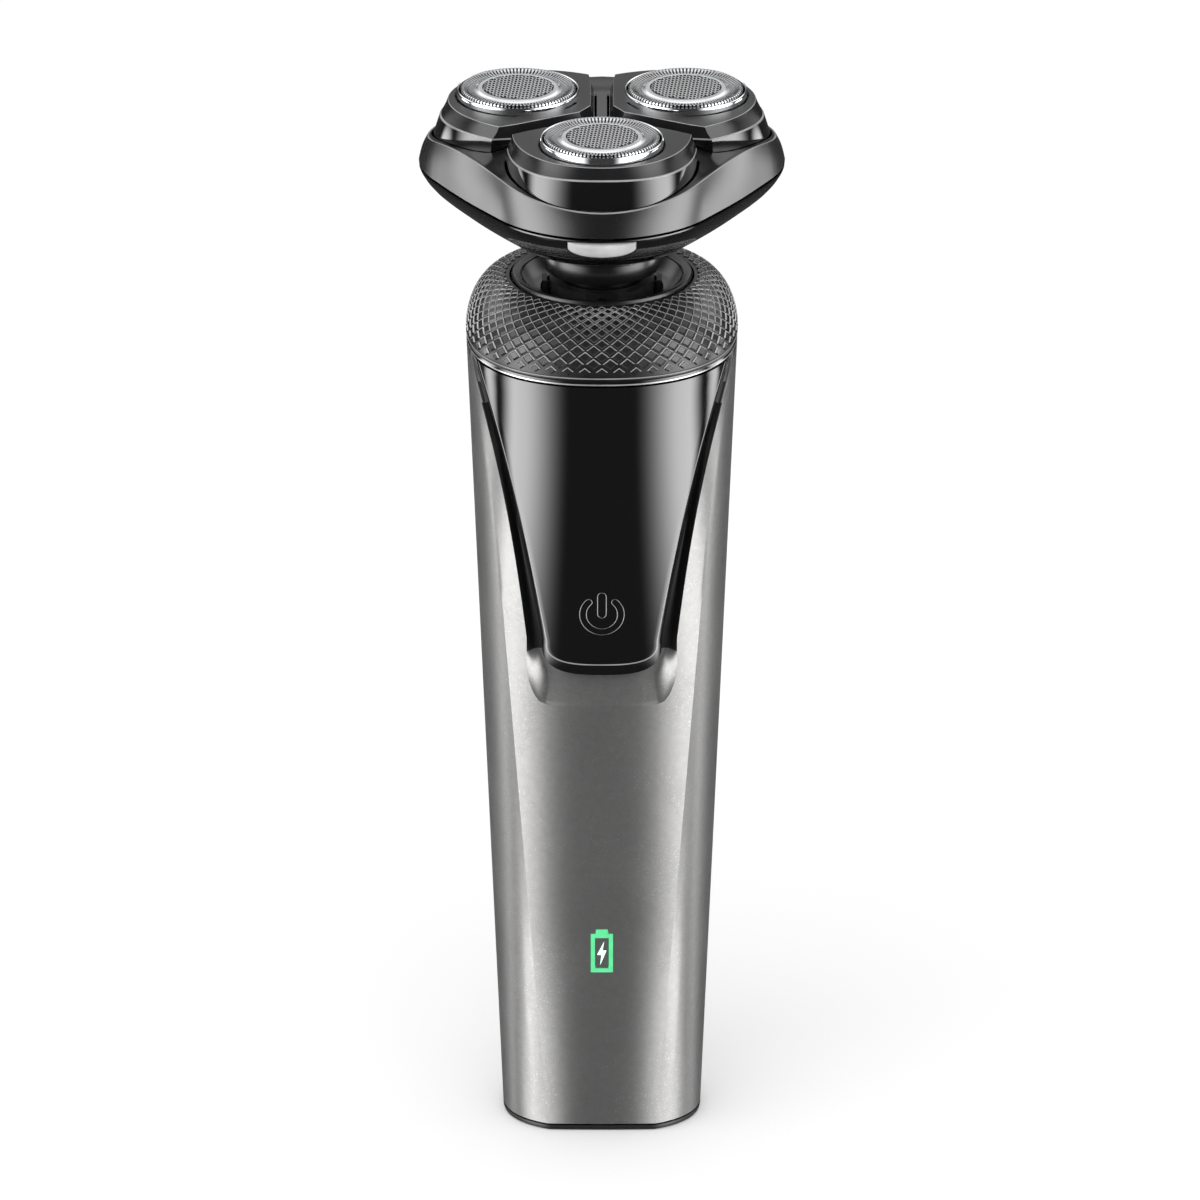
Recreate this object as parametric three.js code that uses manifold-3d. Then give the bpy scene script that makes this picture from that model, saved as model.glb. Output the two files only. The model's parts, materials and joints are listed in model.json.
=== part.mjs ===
// Three-head rotary shaver, standing on its base. Millimetres, +Z up, front towards -Y.
import * as THREE from 'three';
import { mergeVertices } from 'three/addons/utils/BufferGeometryUtils.js';
import Module from 'manifold-3d';

const wasm = await Module();
wasm.setup();

// Clearances
const seat = 0.3; // between two pieces that are fixed together
const running = 0.35; // round a shaft that turns or a piece that slides
const mesh = 0.09; // taken off each side of a gear tooth

// Handle casing: half sizes at the base and at the rim
const rimZ = 133;
const baseHalfWidth = 15.95;
const rimHalfWidth = 21.6;
const baseHalfDepth = 11.5;
const rimHalfDepth = 23.6;
const baseFacet = 8.6; // half width of the crowned front face at the base
const wall = 2.2;
const frontWall = 3.4;
const capEdge = 0.9; // visible height of the base cap
const capPlug = 3.2; // how far the cap reaches into the casing

// Front panel and the power key in it
const panelThick = 1.6;
const panelEndZ = 82;
const panelEndHeight = 6;
const panelEndHalfWidth = 9.6;
const recessDepth = 6; // height of the scoop below the panel
const keyZ = 93;
const keyRadius = 3.58;
const keyStroke = 1.12;
const keyOpening = THREE.MathUtils.degToRad(33);
const keyBarWidth = 1.43;
const keyBarHeight = 4.5;
const keyLine = 0.22; // open line round the symbol
const keyTravel = 0.4;
const keyPlate = 1.1;
const switchPlunger = 0.6;

// Collar and neck
const collarTopZ = 143.6;
const collarWall = 2.0;
const rimTrimHeight = 1.2;
const neckRingRadius = 14.46;
const neckRingTopZ = 144.1;
const neckRingHeight = 4.6;
const neckHoleRadius = 9.8;
const pivotZ = 141.5;
const gimbalOuter = 8.4;
const gimbalInner = 6.6;
const gimbalHeight = 3.2;
const pinRadius = 0.9;

// Head
const lobeRadius = 18.6; // of the seam outline, about each lobe's centre
const lobeCentre = 12.4;
const seamZ = 160.5;
const seamGap = 0.5;
const bowlBandZ = 155.5;
const bowlBandInset = 2.9;
const bowlFootZ = 148.4;
const bowlFootRadius = 9.8;
const bowlWall = 1.6;
const lobeFrontZ = 164.3; // top edge of the upper bowl in front of a cutter
const valleyZ = 168; // and between two cutters
const coverTopZ = 168.9;
const stemRadius = 5.9;
const stemBore = 3.9;

// Cutters
const cutterOffset = 15.4;
const faceZ = 171; // flat face of a cutter frame
const bevelZ = 169;
const skirtZ = 163.9;
const ringOuter = 9.8;
const ringInner = 9.4;
const ringTopZ = 172.2;
const foilRadius = 9.15;
const foilTopZ = 172.5;
const foilThick = 0.5;
const frameBore = 9.5;
const unitTravel = 1.2;
const bladeTopGap = 0.6;
const bladeCount = 9;

// Drive
const gearModule = 0.7;
const driveTeeth = 18;
const spindleTeeth = 26;
const gearZ = 156.4;
const gearThick = 2.4;
const coverPlateZ = 159.3;
const coverPlateThick = 0.9;
const shaftRadius = 1.2;
const motorRadius = 10;
const motorZ = 96;
const motorHeight = 28;
const motorShaftTop = 134;
const mountPlate = 2;
const couplerRadius = 3.1;
const ballRadius = 1.55;
const spindleTip = 1.1;
const spindleTopZ = 168.4;
const retainerZ = 166.4;
const frameGap = 1.2; // half the gap between two cutter frames
const wellGap = 0.8;
const pillarOffset = 17;
const buttonHalfWidth = 5.4;
const buttonHeight = 3.4;
const buttonTopZ = 159.9;

// Chassis
const railX = 11;
const railThick = 1.8;
const railBottomZ = 14;
const topPlate = 2;
const topPlateZ = 127;

// Supply
const cellRadius = 7;
const cellHeight = 49;
const cellZ = 18;
const cellY = 1;
const boardThick = 1.2;
const boardHalfWidth = 7.5;
const boardBottomZ = 72;
const boardTopZ = 118;
const boardY = -12.6;
const socketHalfWidth = 4.6;
const socketHalfDepth = 2.6;
const socketY = 4.5;
const iconZ = 32.7;
const iconHalfWidth = 1.8;
const iconHeight = 7.7;
const iconStroke = 0.7;
const iconDepth = 1.2;
const screwHead = 1.7;
const screwShank = 0.8;

// Hinge of the head cover
const hingeY = lobeCentre / 2 + lobeRadius + 0.4; // just behind the seam's outline
const lobeFrontY = -lobeCentre - lobeRadius;
const hingeRadius = 1.25;
const hingePin = 0.6;
const knuckleHalf = 4.6;
const knuckleEnd = 8.6;

const TAU = Math.PI * 2;
const lobeAngles = [-Math.PI / 2, Math.PI / 6, (5 * Math.PI) / 6];
const root = new THREE.Group();

// ---- Solids ----

function volumeOf(geometry) {
  const p = geometry.attributes.position;
  const index = geometry.index;
  const a = new THREE.Vector3();
  const b = new THREE.Vector3();
  const c = new THREE.Vector3();
  let sum = 0;
  for (let i = 0; i < index.count; i += 3) {
    a.fromBufferAttribute(p, index.getX(i));
    b.fromBufferAttribute(p, index.getX(i + 1));
    c.fromBufferAttribute(p, index.getX(i + 2));
    sum += a.dot(b.cross(c)) / 6;
  }
  return sum;
}

// A closed solid from any three.js geometry, with its shared vertices merged and its faces out.
function solid(geometry) {
  const bare = geometry.clone();
  bare.deleteAttribute('normal');
  bare.deleteAttribute('uv');
  const merged = mergeVertices(bare, 1e-4);
  const kept = [];
  const index = merged.index.array;
  for (let i = 0; i < index.length; i += 3) {
    const [a, b, c] = [index[i], index[i + 1], index[i + 2]];
    if (a !== b && b !== c && c !== a) kept.push(a, b, c);
  }
  merged.setIndex(kept);
  if (volumeOf(merged) < 0) {
    for (let i = 0; i < kept.length; i += 3) [kept[i], kept[i + 1]] = [kept[i + 1], kept[i]];
  }
  return new wasm.Manifold(new wasm.Mesh({
    numProp: 3,
    vertProperties: new Float32Array(merged.attributes.position.array),
    triVerts: new Uint32Array(kept),
  }));
}

function place(name, body, colour, roughness = 0.5, metalness = 0) {
  const { vertProperties, triVerts } = body.getMesh();
  const geometry = new THREE.BufferGeometry();
  geometry.setAttribute('position', new THREE.BufferAttribute(new Float32Array(vertProperties), 3));
  geometry.setIndex(new THREE.BufferAttribute(new Uint32Array(triVerts), 1));
  geometry.computeVertexNormals();
  const material = new THREE.MeshStandardMaterial({ color: colour, roughness, metalness });
  const piece = new THREE.Mesh(geometry, material);
  piece.name = name;
  root.add(piece);
  return piece;
}

// An outline in the XY plane, raised from z0 to z1.
function prism(shape, z0, z1, curveSegments = 12) {
  const options = { depth: z1 - z0, bevelEnabled: false, curveSegments };
  return solid(new THREE.ExtrudeGeometry(shape, options).translate(0, 0, z0));
}

// An outline in the XZ plane, carried from y0 to y1.
function prismY(shape, y0, y1, curveSegments = 12) {
  const options = { depth: y1 - y0, bevelEnabled: false, curveSegments };
  const geometry = new THREE.ExtrudeGeometry(shape, options);
  return solid(geometry.rotateX(Math.PI / 2).translate(0, y1, 0));
}

function box(x0, x1, y0, y1, z0, z1) {
  const geometry = new THREE.BoxGeometry(x1 - x0, y1 - y0, z1 - z0);
  return solid(geometry.translate((x0 + x1) / 2, (y0 + y1) / 2, (z0 + z1) / 2));
}

function rod(radius, z0, z1, sides = 12) {
  const geometry = new THREE.CylinderGeometry(radius, radius, z1 - z0, sides);
  return solid(geometry.rotateX(Math.PI / 2).translate(0, 0, (z0 + z1) / 2));
}

function rodX(radius, x0, x1, y, z, sides = 12) {
  const geometry = new THREE.CylinderGeometry(radius, radius, x1 - x0, sides);
  return solid(geometry.rotateZ(Math.PI / 2).translate((x0 + x1) / 2, y, z));
}

function rodY(radius, y0, y1, x, z, sides = 12) {
  const geometry = new THREE.CylinderGeometry(radius, radius, y1 - y0, sides);
  return solid(geometry.translate(x, (y0 + y1) / 2, z));
}

// A profile of [radius, z] turned about the Z axis. It starts and ends on the axis or closes.
function turned(profile, sides = 36) {
  const points = profile.map(([r, z]) => new THREE.Vector2(r, z));
  return solid(new THREE.LatheGeometry(points, sides).rotateX(Math.PI / 2));
}

// Closed rings of equally many points, skinned from the first to the last and capped.
function loft(rings) {
  const count = rings[0].length;
  const positions = [];
  const index = [];
  for (const ring of rings) for (const p of ring) positions.push(p.x, p.y, p.z);
  for (let level = 0; level + 1 < rings.length; level += 1) {
    for (let i = 0; i < count; i += 1) {
      const a = level * count + i;
      const b = level * count + ((i + 1) % count);
      index.push(a, b, a + count, b, b + count, a + count);
    }
  }
  for (const [level, flip] of [[0, true], [rings.length - 1, false]]) {
    const centre = new THREE.Vector3();
    for (const p of rings[level]) centre.add(p);
    centre.divideScalar(count);
    const tip = positions.length / 3;
    positions.push(centre.x, centre.y, centre.z);
    for (let i = 0; i < count; i += 1) {
      const a = level * count + i;
      const b = level * count + ((i + 1) % count);
      if (flip) index.push(tip, b, a);
      else index.push(tip, a, b);
    }
  }
  const geometry = new THREE.BufferGeometry();
  geometry.setAttribute('position', new THREE.Float32BufferAttribute(positions, 3));
  geometry.setIndex(index);
  return solid(geometry);
}

const join = (first, ...rest) => rest.reduce((sum, part) => sum.add(part), first);
const cut = (first, ...rest) => rest.reduce((left, part) => left.subtract(part), first);
const polar = (radius, angle) => [radius * Math.cos(angle), radius * Math.sin(angle)];

// ---- Handle outline ----

const share = (z) => z / rimZ;
const halfWidth = (z) => baseHalfWidth + (rimHalfWidth - baseHalfWidth) * share(z);
const halfDepth = (z) => baseHalfDepth + (rimHalfDepth - baseHalfDepth) * share(z);

// The sides bulge past the front face, which cuts them along two long edges.
function sideDepth(z) {
  const s = share(z);
  return halfDepth(z) + 1.2 * (1 - s) + 12 * s * (1 - s);
}

function facetHalfWidth(z) {
  const flare = Math.max(0, (z - 95) / (rimZ - 95));
  const width = baseFacet + 0.078 * z + 2.4 * flare * flare;
  return Math.min(width, halfWidth(z) - 0.25);
}

const roundness = 2.3;
const along = (x, a, b) => b * (1 - (Math.abs(x) / a) ** roundness) ** (1 / roundness);

// Half depth of the front face at x, on the section at height z.
function frontDepth(x, z) {
  const facet = facetHalfWidth(z);
  const depth = halfDepth(z);
  const edge = Math.min(along(facet, halfWidth(z), sideDepth(z)), depth - 0.15);
  const reach = facet / (1 - (edge / depth) ** roundness) ** (1 / roundness);
  return along(x, reach, depth);
}

// The closed section at height z: back, left side, front face, right side.
function handleRing(z, inset = 0, frontInset = inset) {
  const back = 12;
  const side = 3;
  const front = 8;
  const w = halfWidth(z);
  const facet = facetHalfWidth(z);
  const edge = frontDepth(facet, z);
  const edgeAngle = Math.asin(Math.min(1, edge / sideDepth(z)));
  const points = [];
  for (let i = 0; i < back; i += 1) {
    const a = (Math.PI * i) / back;
    const x = w * Math.sign(Math.cos(a)) * Math.abs(Math.cos(a)) ** (2 / roundness);
    points.push([x, (halfDepth(z) + 1) * Math.sin(a) ** (2 / roundness), inset]);
  }
  const sidePoint = (a) => {
    const y = sideDepth(z) * Math.sin(a);
    return [w * (1 - Math.sin(a) ** roundness) ** (1 / roundness), -y, inset];
  };
  for (let i = 0; i < side; i += 1) {
    const [x, y, t] = sidePoint((edgeAngle * i) / side);
    points.push([-x, y, t]);
  }
  for (let i = 0; i <= front; i += 1) {
    const x = facet * ((2 * i) / front - 1);
    points.push([x, -frontDepth(x, z), frontInset]);
  }
  for (let i = side - 1; i > 0; i -= 1) points.push(sidePoint((edgeAngle * i) / side));
  const dy = halfDepth(z);
  return points.map(([x, y, t]) => new THREE.Vector3(x * (1 - t / w), y * (1 - t / dy), z));
}

const handleLevels = [0, 24, 48, 70, 88, 103, 116, 126, rimZ];
const handleLoft = (z0, z1, inset, frontInset = inset) => {
  const levels = handleLevels.filter((z) => z > z0 && z < z1);
  return loft([z0, ...levels, z1].map((z) => handleRing(z, inset, frontInset)));
};

// Half width of the front panel at height z, above its rounded end.
function panelHalfWidth(z) {
  const t = (z - panelEndZ - panelEndHeight) / (rimZ - panelEndZ - panelEndHeight);
  return panelEndHalfWidth + 8.2 * t + 2.6 * t ** 3;
}

function panelShape(grow, drop, topZ) {
  const right = [];
  const squareness = 3.2;
  for (let i = 0; i <= 5; i += 1) {
    const a = (Math.PI / 2) * (i / 5);
    const x = (panelEndHalfWidth + grow) * Math.sin(a) ** (2 / squareness);
    const z = (panelEndHeight + drop) * Math.cos(a) ** (2 / squareness);
    right.push(new THREE.Vector2(x, panelEndZ + panelEndHeight - z));
  }
  const first = panelEndZ + panelEndHeight;
  for (let i = 1; i <= 6; i += 1) {
    const z = first + ((topZ - first) * i) / 6;
    right.push(new THREE.Vector2(panelHalfWidth(z) + grow, z));
  }
  const left = right.slice(1).reverse().map((p) => new THREE.Vector2(-p.x, p.y));
  return new THREE.Shape([...right, ...left]);
}

// ---- Power symbol ----

// The open ring of the symbol, each side moved out by grow.
function keyRingShape(grow) {
  const middle = keyRadius - keyStroke / 2;
  const half = keyStroke / 2 + grow;
  const end = keyOpening + Math.asin(keyStroke / 2 / middle);
  const start = Math.PI / 2 + end;
  const finish = Math.PI / 2 - end + TAU;
  const shape = new THREE.Shape();
  shape.absarc(0, keyZ, middle + half, start, finish, false);
  const [fx, fz] = polar(middle, finish);
  shape.absarc(fx, keyZ + fz, half, finish, finish + Math.PI, false);
  shape.absarc(0, keyZ, middle - half, finish, start, true);
  const [sx, sz] = polar(middle, start);
  shape.absarc(sx, keyZ + sz, half, start + Math.PI, start + TAU, false);
  return shape;
}

function keyBarShape(grow) {
  const half = keyBarWidth / 2 + grow;
  const low = keyZ - 0.6 + keyBarWidth / 2;
  const high = low + keyBarHeight - keyBarWidth;
  const shape = new THREE.Shape();
  shape.absarc(0, high, half, 0, Math.PI, false);
  shape.absarc(0, low, half, Math.PI, TAU, false);
  return shape;
}

// ---- Handle pieces ----

const panelFront = -rimHalfDepth - 6;
const panelBack = -1.5;
const innerFace = (z) => -(halfDepth(z) - frontWall);
const keyFaceY = -halfDepth(keyZ);

function panelBlank(grow, drop, topZ, back = panelBack) {
  return prismY(panelShape(grow, drop, topZ), panelFront, back);
}

const baseScrews = [-1, 1].map((side) => [side * 9.5, 1.5]);
const socketShape = (grow) => {
  const w = socketHalfWidth + grow;
  const d = socketHalfDepth + grow;
  const shape = new THREE.Shape();
  shape.absarc(w - d, socketY, d, -Math.PI / 2, Math.PI / 2, false);
  shape.absarc(d - w, socketY, d, Math.PI / 2, (3 * Math.PI) / 2, false);
  return shape;
};

function iconOuter(grow) {
  const w = iconHalfWidth + grow;
  const z0 = iconZ - iconHeight / 2 - grow;
  const z1 = iconZ + iconHeight / 2 - 0.8;
  const cap = iconHalfWidth * 0.53 + grow;
  return new THREE.Shape([
    new THREE.Vector2(-w, z0), new THREE.Vector2(w, z0), new THREE.Vector2(w, z1 + grow),
    new THREE.Vector2(cap, z1 + grow), new THREE.Vector2(cap, z1 + 0.8 + grow),
    new THREE.Vector2(-cap, z1 + 0.8 + grow), new THREE.Vector2(-cap, z1 + grow),
    new THREE.Vector2(-w, z1 + grow),
  ]);
}

function iconInner(grow) {
  const w = iconHalfWidth - iconStroke + grow;
  const z0 = iconZ - iconHeight / 2 + iconStroke - grow;
  const z1 = iconZ + iconHeight / 2 - 0.8 - iconStroke + grow;
  return new THREE.Shape([
    new THREE.Vector2(-w, z0), new THREE.Vector2(w, z0),
    new THREE.Vector2(w, z1), new THREE.Vector2(-w, z1),
  ]);
}

// Lightning bolt, which leans over its own middle.
function boltShape(grow) {
  const w = 0.72 + grow;
  const h = 2.1 + grow;
  return new THREE.Shape([
    new THREE.Vector2(-w * 0.35, iconZ - 0.4 - h), new THREE.Vector2(w, iconZ + 0.1),
    new THREE.Vector2(w * 0.15, iconZ + 0.1), new THREE.Vector2(w * 0.5, iconZ - 0.4 + h),
    new THREE.Vector2(-w, iconZ - 0.7), new THREE.Vector2(-w * 0.1, iconZ - 0.7),
  ]);
}

function makeCasing() {
  const shell = handleLoft(capEdge + seat, rimZ, 0);
  const cavity = handleLoft(capEdge, rimZ + 0.001, wall, frontWall);
  const pocketFloor = handleLoft(capEdge, rimZ + 0.001, panelThick + seat);
  const topZ = rimZ + 2;
  const pocket = cut(panelBlank(seat, seat, topZ), pocketFloor);
  const scoopFloor = handleLoft(capEdge, rimZ, 1.1);
  const scoop = cut(panelBlank(-0.6, recessDepth, panelEndZ + 12), scoopFloor);
  const keyHole = rodY(keyRadius + 1.5, panelFront, innerFace(keyZ) + 4, 0, keyZ, 20);
  const icon = prismY(iconOuter(seat), panelFront, -baseHalfDepth + 2);
  const solidIcon = cut(icon, prismY(iconInner(-seat), panelFront, 0));
  const iconSlot = cut(solidIcon, handleLoft(capEdge, rimZ, iconDepth + seat));
  const bolt = cut(
    prismY(boltShape(seat), panelFront, 0),
    handleLoft(capEdge, rimZ, iconDepth + seat),
  );
  const body = cut(shell, cavity, pocket, scoop, keyHole, iconSlot, bolt);
  const ribs = [-1, 1].map((side) => {
    const y0 = 3;
    const x = halfWidth(30) - wall - 0.6;
    return box(side * x - 1.1, side * x + 1.1, y0, y0 + 2.4, 26, 34);
  });
  return join(body, ...ribs);
}

function makeBaseCap() {
  const edge = 0.5;
  const foot = loft([handleRing(0, edge), handleRing(edge, 0), handleRing(capEdge, 0)]);
  const plug = handleLoft(capEdge - 0.2, capPlug, wall + seat, frontWall + seat);
  const socketHole = prism(socketShape(seat), -1, capPlug + 1, 6);
  const holes = baseScrews.flatMap(([x, y]) => [
    rod(screwHead + seat, -1, 1.3, 16).translate([x, y, 0]),
    rod(screwShank + seat, -1, capPlug + 1, 12).translate([x, y, 0]),
  ]);
  return cut(join(foot, plug), socketHole, ...holes);
}

function makePanel() {
  const outer = handleLoft(70, rimZ, 0);
  const inner = handleLoft(70 - 1, rimZ + 0.001, panelThick);
  const blank = panelBlank(0, 0, rimZ).intersect(outer);
  const symbol = [keyRingShape(keyLine), keyBarShape(keyLine)];
  return cut(blank, inner, ...symbol.map((shape) => prismY(shape, panelFront, panelBack, 6)));
}

// The symbol stands in its own slots, on a plate behind the panel with a stem to the switch.
function makePowerKey() {
  const plateY = keyFaceY + panelThick + 0.45;
  const symbols = [keyRingShape(0), keyBarShape(0)];
  const raised = symbols.map((shape) => prismY(shape, keyFaceY, plateY + 0.1, 6));
  const plate = rodY(keyRadius + 0.9, plateY, plateY + keyPlate, 0, keyZ, 20);
  const stem = rodY(1, plateY, boardY - boardThick / 2 - 2.6 - keyTravel - 0.15, 0, keyZ, 12);
  return join(plate, stem, ...raised);
}

function domeRing(turn, inset) {
  const base = handleRing(rimZ, inset);
  const topRadius = neckRingRadius + seat;
  const flat = Math.cos(turn);
  const height = Math.sin(turn) * (collarTopZ - rimZ - rimTrimHeight - inset);
  return base.map((p) => {
    const r = Math.hypot(p.x, p.y);
    const radius = topRadius + (r - topRadius) * flat;
    const z = rimZ + rimTrimHeight + height;
    return new THREE.Vector3((p.x / r) * radius, (p.y / r) * radius, z);
  });
}

function makeCollar() {
  const turns = [0, 0.4, 0.8, 1.2, Math.PI / 2];
  const outer = loft(turns.map((turn) => domeRing(turn, 0)));
  const low = handleRing(rimZ, collarWall).map((p) => new THREE.Vector3(p.x, p.y, rimZ));
  const hollow = loft([low, ...turns.map((turn) => domeRing(turn, collarWall))]);
  return cut(outer, hollow, rod(neckRingRadius + seat, rimZ, collarTopZ + 5, 24));
}

// The trim fills the step between the casing and the collar, flush with both.
function makeRimTrim() {
  const at = (z, inset) => handleRing(rimZ, inset).map((p) => new THREE.Vector3(p.x, p.y, z));
  const z0 = rimZ + seat;
  const z1 = rimZ + rimTrimHeight - seat / 3;
  const outer = loft([at(z0, 0), at(z1, 0)]);
  const hole = loft([at(z0 - 1, wall), at(z1 + 1, wall)]);
  return cut(outer, hole);
}

function makeNeckRing() {
  const lowZ = neckRingTopZ - neckRingHeight;
  return turned([
    [neckHoleRadius, neckRingTopZ - 2.5], [neckHoleRadius + 1.4, neckRingTopZ - 1.5],
    [neckHoleRadius + 2.9, neckRingTopZ - 0.5], [neckRingRadius - 1, neckRingTopZ],
    [neckRingRadius - 0.3, neckRingTopZ], [neckRingRadius, neckRingTopZ - 0.4],
    [neckRingRadius, lowZ], [neckHoleRadius, lowZ], [neckHoleRadius, neckRingTopZ - 2.5],
  ], 24);
}

// Cup that holds the gimbal's trunnions. Its flange carries the neck ring.
function makeNeckSocket() {
  const topZ = neckRingTopZ - neckRingHeight - seat;
  const floorZ = 136;
  const outer = neckRingRadius - 1;
  const bore = gimbalOuter + 0.9;
  const hole = couplerRadius + 1;
  const cup = turned([
    [hole, floorZ], [outer, floorZ], [outer, topZ], [bore, topZ],
    [bore, floorZ + 1.6], [hole, floorZ + 1.6], [hole, floorZ],
  ], 20);
  const ears = [-1, 1].map((side) => {
    const x = side * (gimbalOuter + running + 0.4);
    return box(x - 0.4, x + 0.4, -1.6, 1.6, floorZ + 1, pivotZ + 1.5);
  });
  const posts = [-1, 1].map((side) => {
    return rod(1.6, topPlateZ + topPlate + seat, floorZ + 0.5, 12).translate([side * 8.5, 0, 0]);
  });
  const bearing = rodX(pinRadius + 0.1, -neckRingRadius, neckRingRadius, 0, pivotZ);
  return cut(join(cup, ...ears, ...posts), bearing);
}

// The ring tips about X in the socket. The neck stem tips about Y in the ring.
function makeGimbalRing() {
  const [low, high] = [pivotZ - gimbalHeight / 2, pivotZ + gimbalHeight / 2];
  const ring = turned([
    [gimbalInner, low], [gimbalOuter, low], [gimbalOuter, high], [gimbalInner, high],
    [gimbalInner, low],
  ], 20);
  const reach = gimbalOuter + running + 0.6;
  const pins = [-1, 1].map((side) => {
    const [a, b] = [side * (gimbalInner + 0.5), side * reach];
    return rodX(pinRadius, Math.min(a, b), Math.max(a, b), 0, pivotZ);
  });
  return cut(join(ring, ...pins), rodY(pinRadius + 0.1, -reach, reach, 0, pivotZ));
}

// ---- Inside the handle ----

function makeChassis() {
  const rails = [-1, 1].map((side) => {
    const x = side * (railX + railThick / 2);
    return box(x - railThick / 2, x + railThick / 2, -3, 3, railBottomZ, topPlateZ + topPlate);
  });
  const reach = railX + railThick;
  const plates = [railBottomZ, cellZ + cellHeight + 2.4, motorZ - topPlate - seat, topPlateZ].map((z) => {
    return box(-reach, reach, -4.5, 4.5, z, z + topPlate);
  });
  return cut(join(...rails, ...plates), rod(couplerRadius + 1, topPlateZ - 1, topPlateZ + 5));
}

function makeCell() {
  const can = turned([
    [0, cellZ], [cellRadius - 0.5, cellZ], [cellRadius, cellZ + 0.5],
    [cellRadius, cellZ + cellHeight - 1.2], [cellRadius - 0.8, cellZ + cellHeight - 0.6],
    [2.6, cellZ + cellHeight - 0.6], [2.6, cellZ + cellHeight], [0, cellZ + cellHeight],
  ], 20);
  return can.translate([0, cellY, 0]);
}

function makeCellTab(z) {
  const plate = box(-4, 4, cellY - 3, cellY + 3, z, z + 0.8);
  return join(plate, box(-2, 2, cellY - 9.4, cellY - 2, z, z + 0.8));
}

function makeMotorCan() {
  const top = motorZ + motorHeight;
  const can = turned([
    [0, motorZ], [motorRadius - 0.8, motorZ], [motorRadius, motorZ + 0.8],
    [motorRadius, top - 0.8], [motorRadius - 0.8, top - 0.8 + 0.4],
    [3.2, top - 0.4], [3.2, top + 1.4], [0, top + 1.4],
  ], 24);
  return cut(can, rod(shaftRadius + running, top - 6, top + 3, 16));
}

function makeMotorMount() {
  const z = motorZ + motorHeight;
  const plate = rod(motorRadius + 0.6, z, z + mountPlate - 0.2, 24);
  const screws = [-1, 1].map((side) => rod(1, z - 1, z + 4, 12).translate([0, side * 7, 0]));
  return cut(plate, rod(3.2 + seat, z - 1, z + 4, 24), ...screws);
}

function makeMotorShaft() {
  return rod(shaftRadius, motorZ + motorHeight - 5, motorShaftTop, 14);
}

// Cup on the motor shaft. The ball of the head's shaft turns with it and tips in it.
function makeCoupler() {
  const low = motorShaftTop - 5;
  const body = rod(couplerRadius, low, pivotZ + 1.4, 20);
  const foot = rod(shaftRadius + 0.1, low - 1, motorShaftTop + seat, 14);
  return cut(body, foot, rod(ballRadius + running, pivotZ - 2.2, pivotZ + 3, 14));
}

function makeBoard() {
  const [y0, y1] = [boardY - boardThick / 2, boardY + boardThick / 2];
  const board = box(-boardHalfWidth, boardHalfWidth, y0, y1, boardBottomZ, boardTopZ);
  const chip = box(-3, 3, y0 - 1, y0 + 0.1, 77, 83);
  const coil = box(-5.5, -1.5, y0 - 1.6, y0 + 0.1, 104, 109);
  const capacitor = box(1.5, 5.5, y0 - 1.4, y0 + 0.1, 103, 110);
  return join(board, chip, coil, capacitor);
}

const switchFront = boardY - boardThick / 2 - 2;

function makeSwitch() {
  const body = box(-3, 3, switchFront, boardY - boardThick / 2 - seat, keyZ - 3, keyZ + 3);
  return join(body, rodY(1.2, switchFront - switchPlunger, switchFront + 0.2, 0, keyZ, 12));
}

// The inlet's shell lines up with the hole in the base cap and is blind at its top.
function makeChargeSocket() {
  const low = capPlug + seat;
  const shell = prism(socketShape(1.3), low, low + 9, 6);
  return cut(shell, prism(socketShape(seat), low - 1, low + 6.5, 6));
}

function makeLightGuide() {
  const y = innerFace(iconZ) + 0.5;
  return box(-1.6, 1.6, y, y + 1.8, iconZ - 3, iconZ + 3);
}

function makeIconFrame() {
  const outline = cut(
    prismY(iconOuter(0), panelFront, 0),
    prismY(iconInner(0), panelFront - 1, 1),
  );
  const skin = cut(handleLoft(iconZ - 8, iconZ + 8, 0), handleLoft(iconZ - 9, iconZ + 9, iconDepth));
  return outline.intersect(skin);
}

function makeIconBolt() {
  const skin = cut(handleLoft(iconZ - 8, iconZ + 8, 0), handleLoft(iconZ - 9, iconZ + 9, iconDepth));
  return prismY(boltShape(0), panelFront, 0).intersect(skin);
}

function makeBaseScrew([x, y]) {
  const head = rod(screwHead, 0.35, 1.0, 14);
  const shank = rod(screwShank, 0.9, capPlug + 2, 10);
  const slot = box(-screwHead, screwHead, -0.2, 0.2, 0, 0.65);
  return cut(join(head, shank), slot).translate([x, y, 0]);
}

// ---- Head ----

// 0 in front of a cutter, 1 midway between two.
function valley(angle) {
  return (1 - Math.cos(3 * (angle - lobeAngles[0]))) / 2;
}

// Outline round three circles of one radius, with their centres on the three lobes.
function hullRing(centre, radius, z) {
  const arc = 7;
  const edge = 2;
  const corners = lobeAngles.map((turn) => {
    const list = [];
    for (let i = 0; i <= arc; i += 1) {
      const [x, y] = polar(radius, turn - TAU / 6 + (TAU / 3) * (i / arc));
      const [cx, cy] = polar(centre, turn);
      list.push(new THREE.Vector3(cx + x, cy + y, z));
    }
    return list;
  });
  const ring = [];
  corners.forEach((list, k) => {
    ring.push(...list);
    const next = corners[(k + 1) % corners.length][0];
    for (let i = 1; i < edge; i += 1) ring.push(list[arc].clone().lerp(next, i / edge));
  });
  return ring;
}

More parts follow.
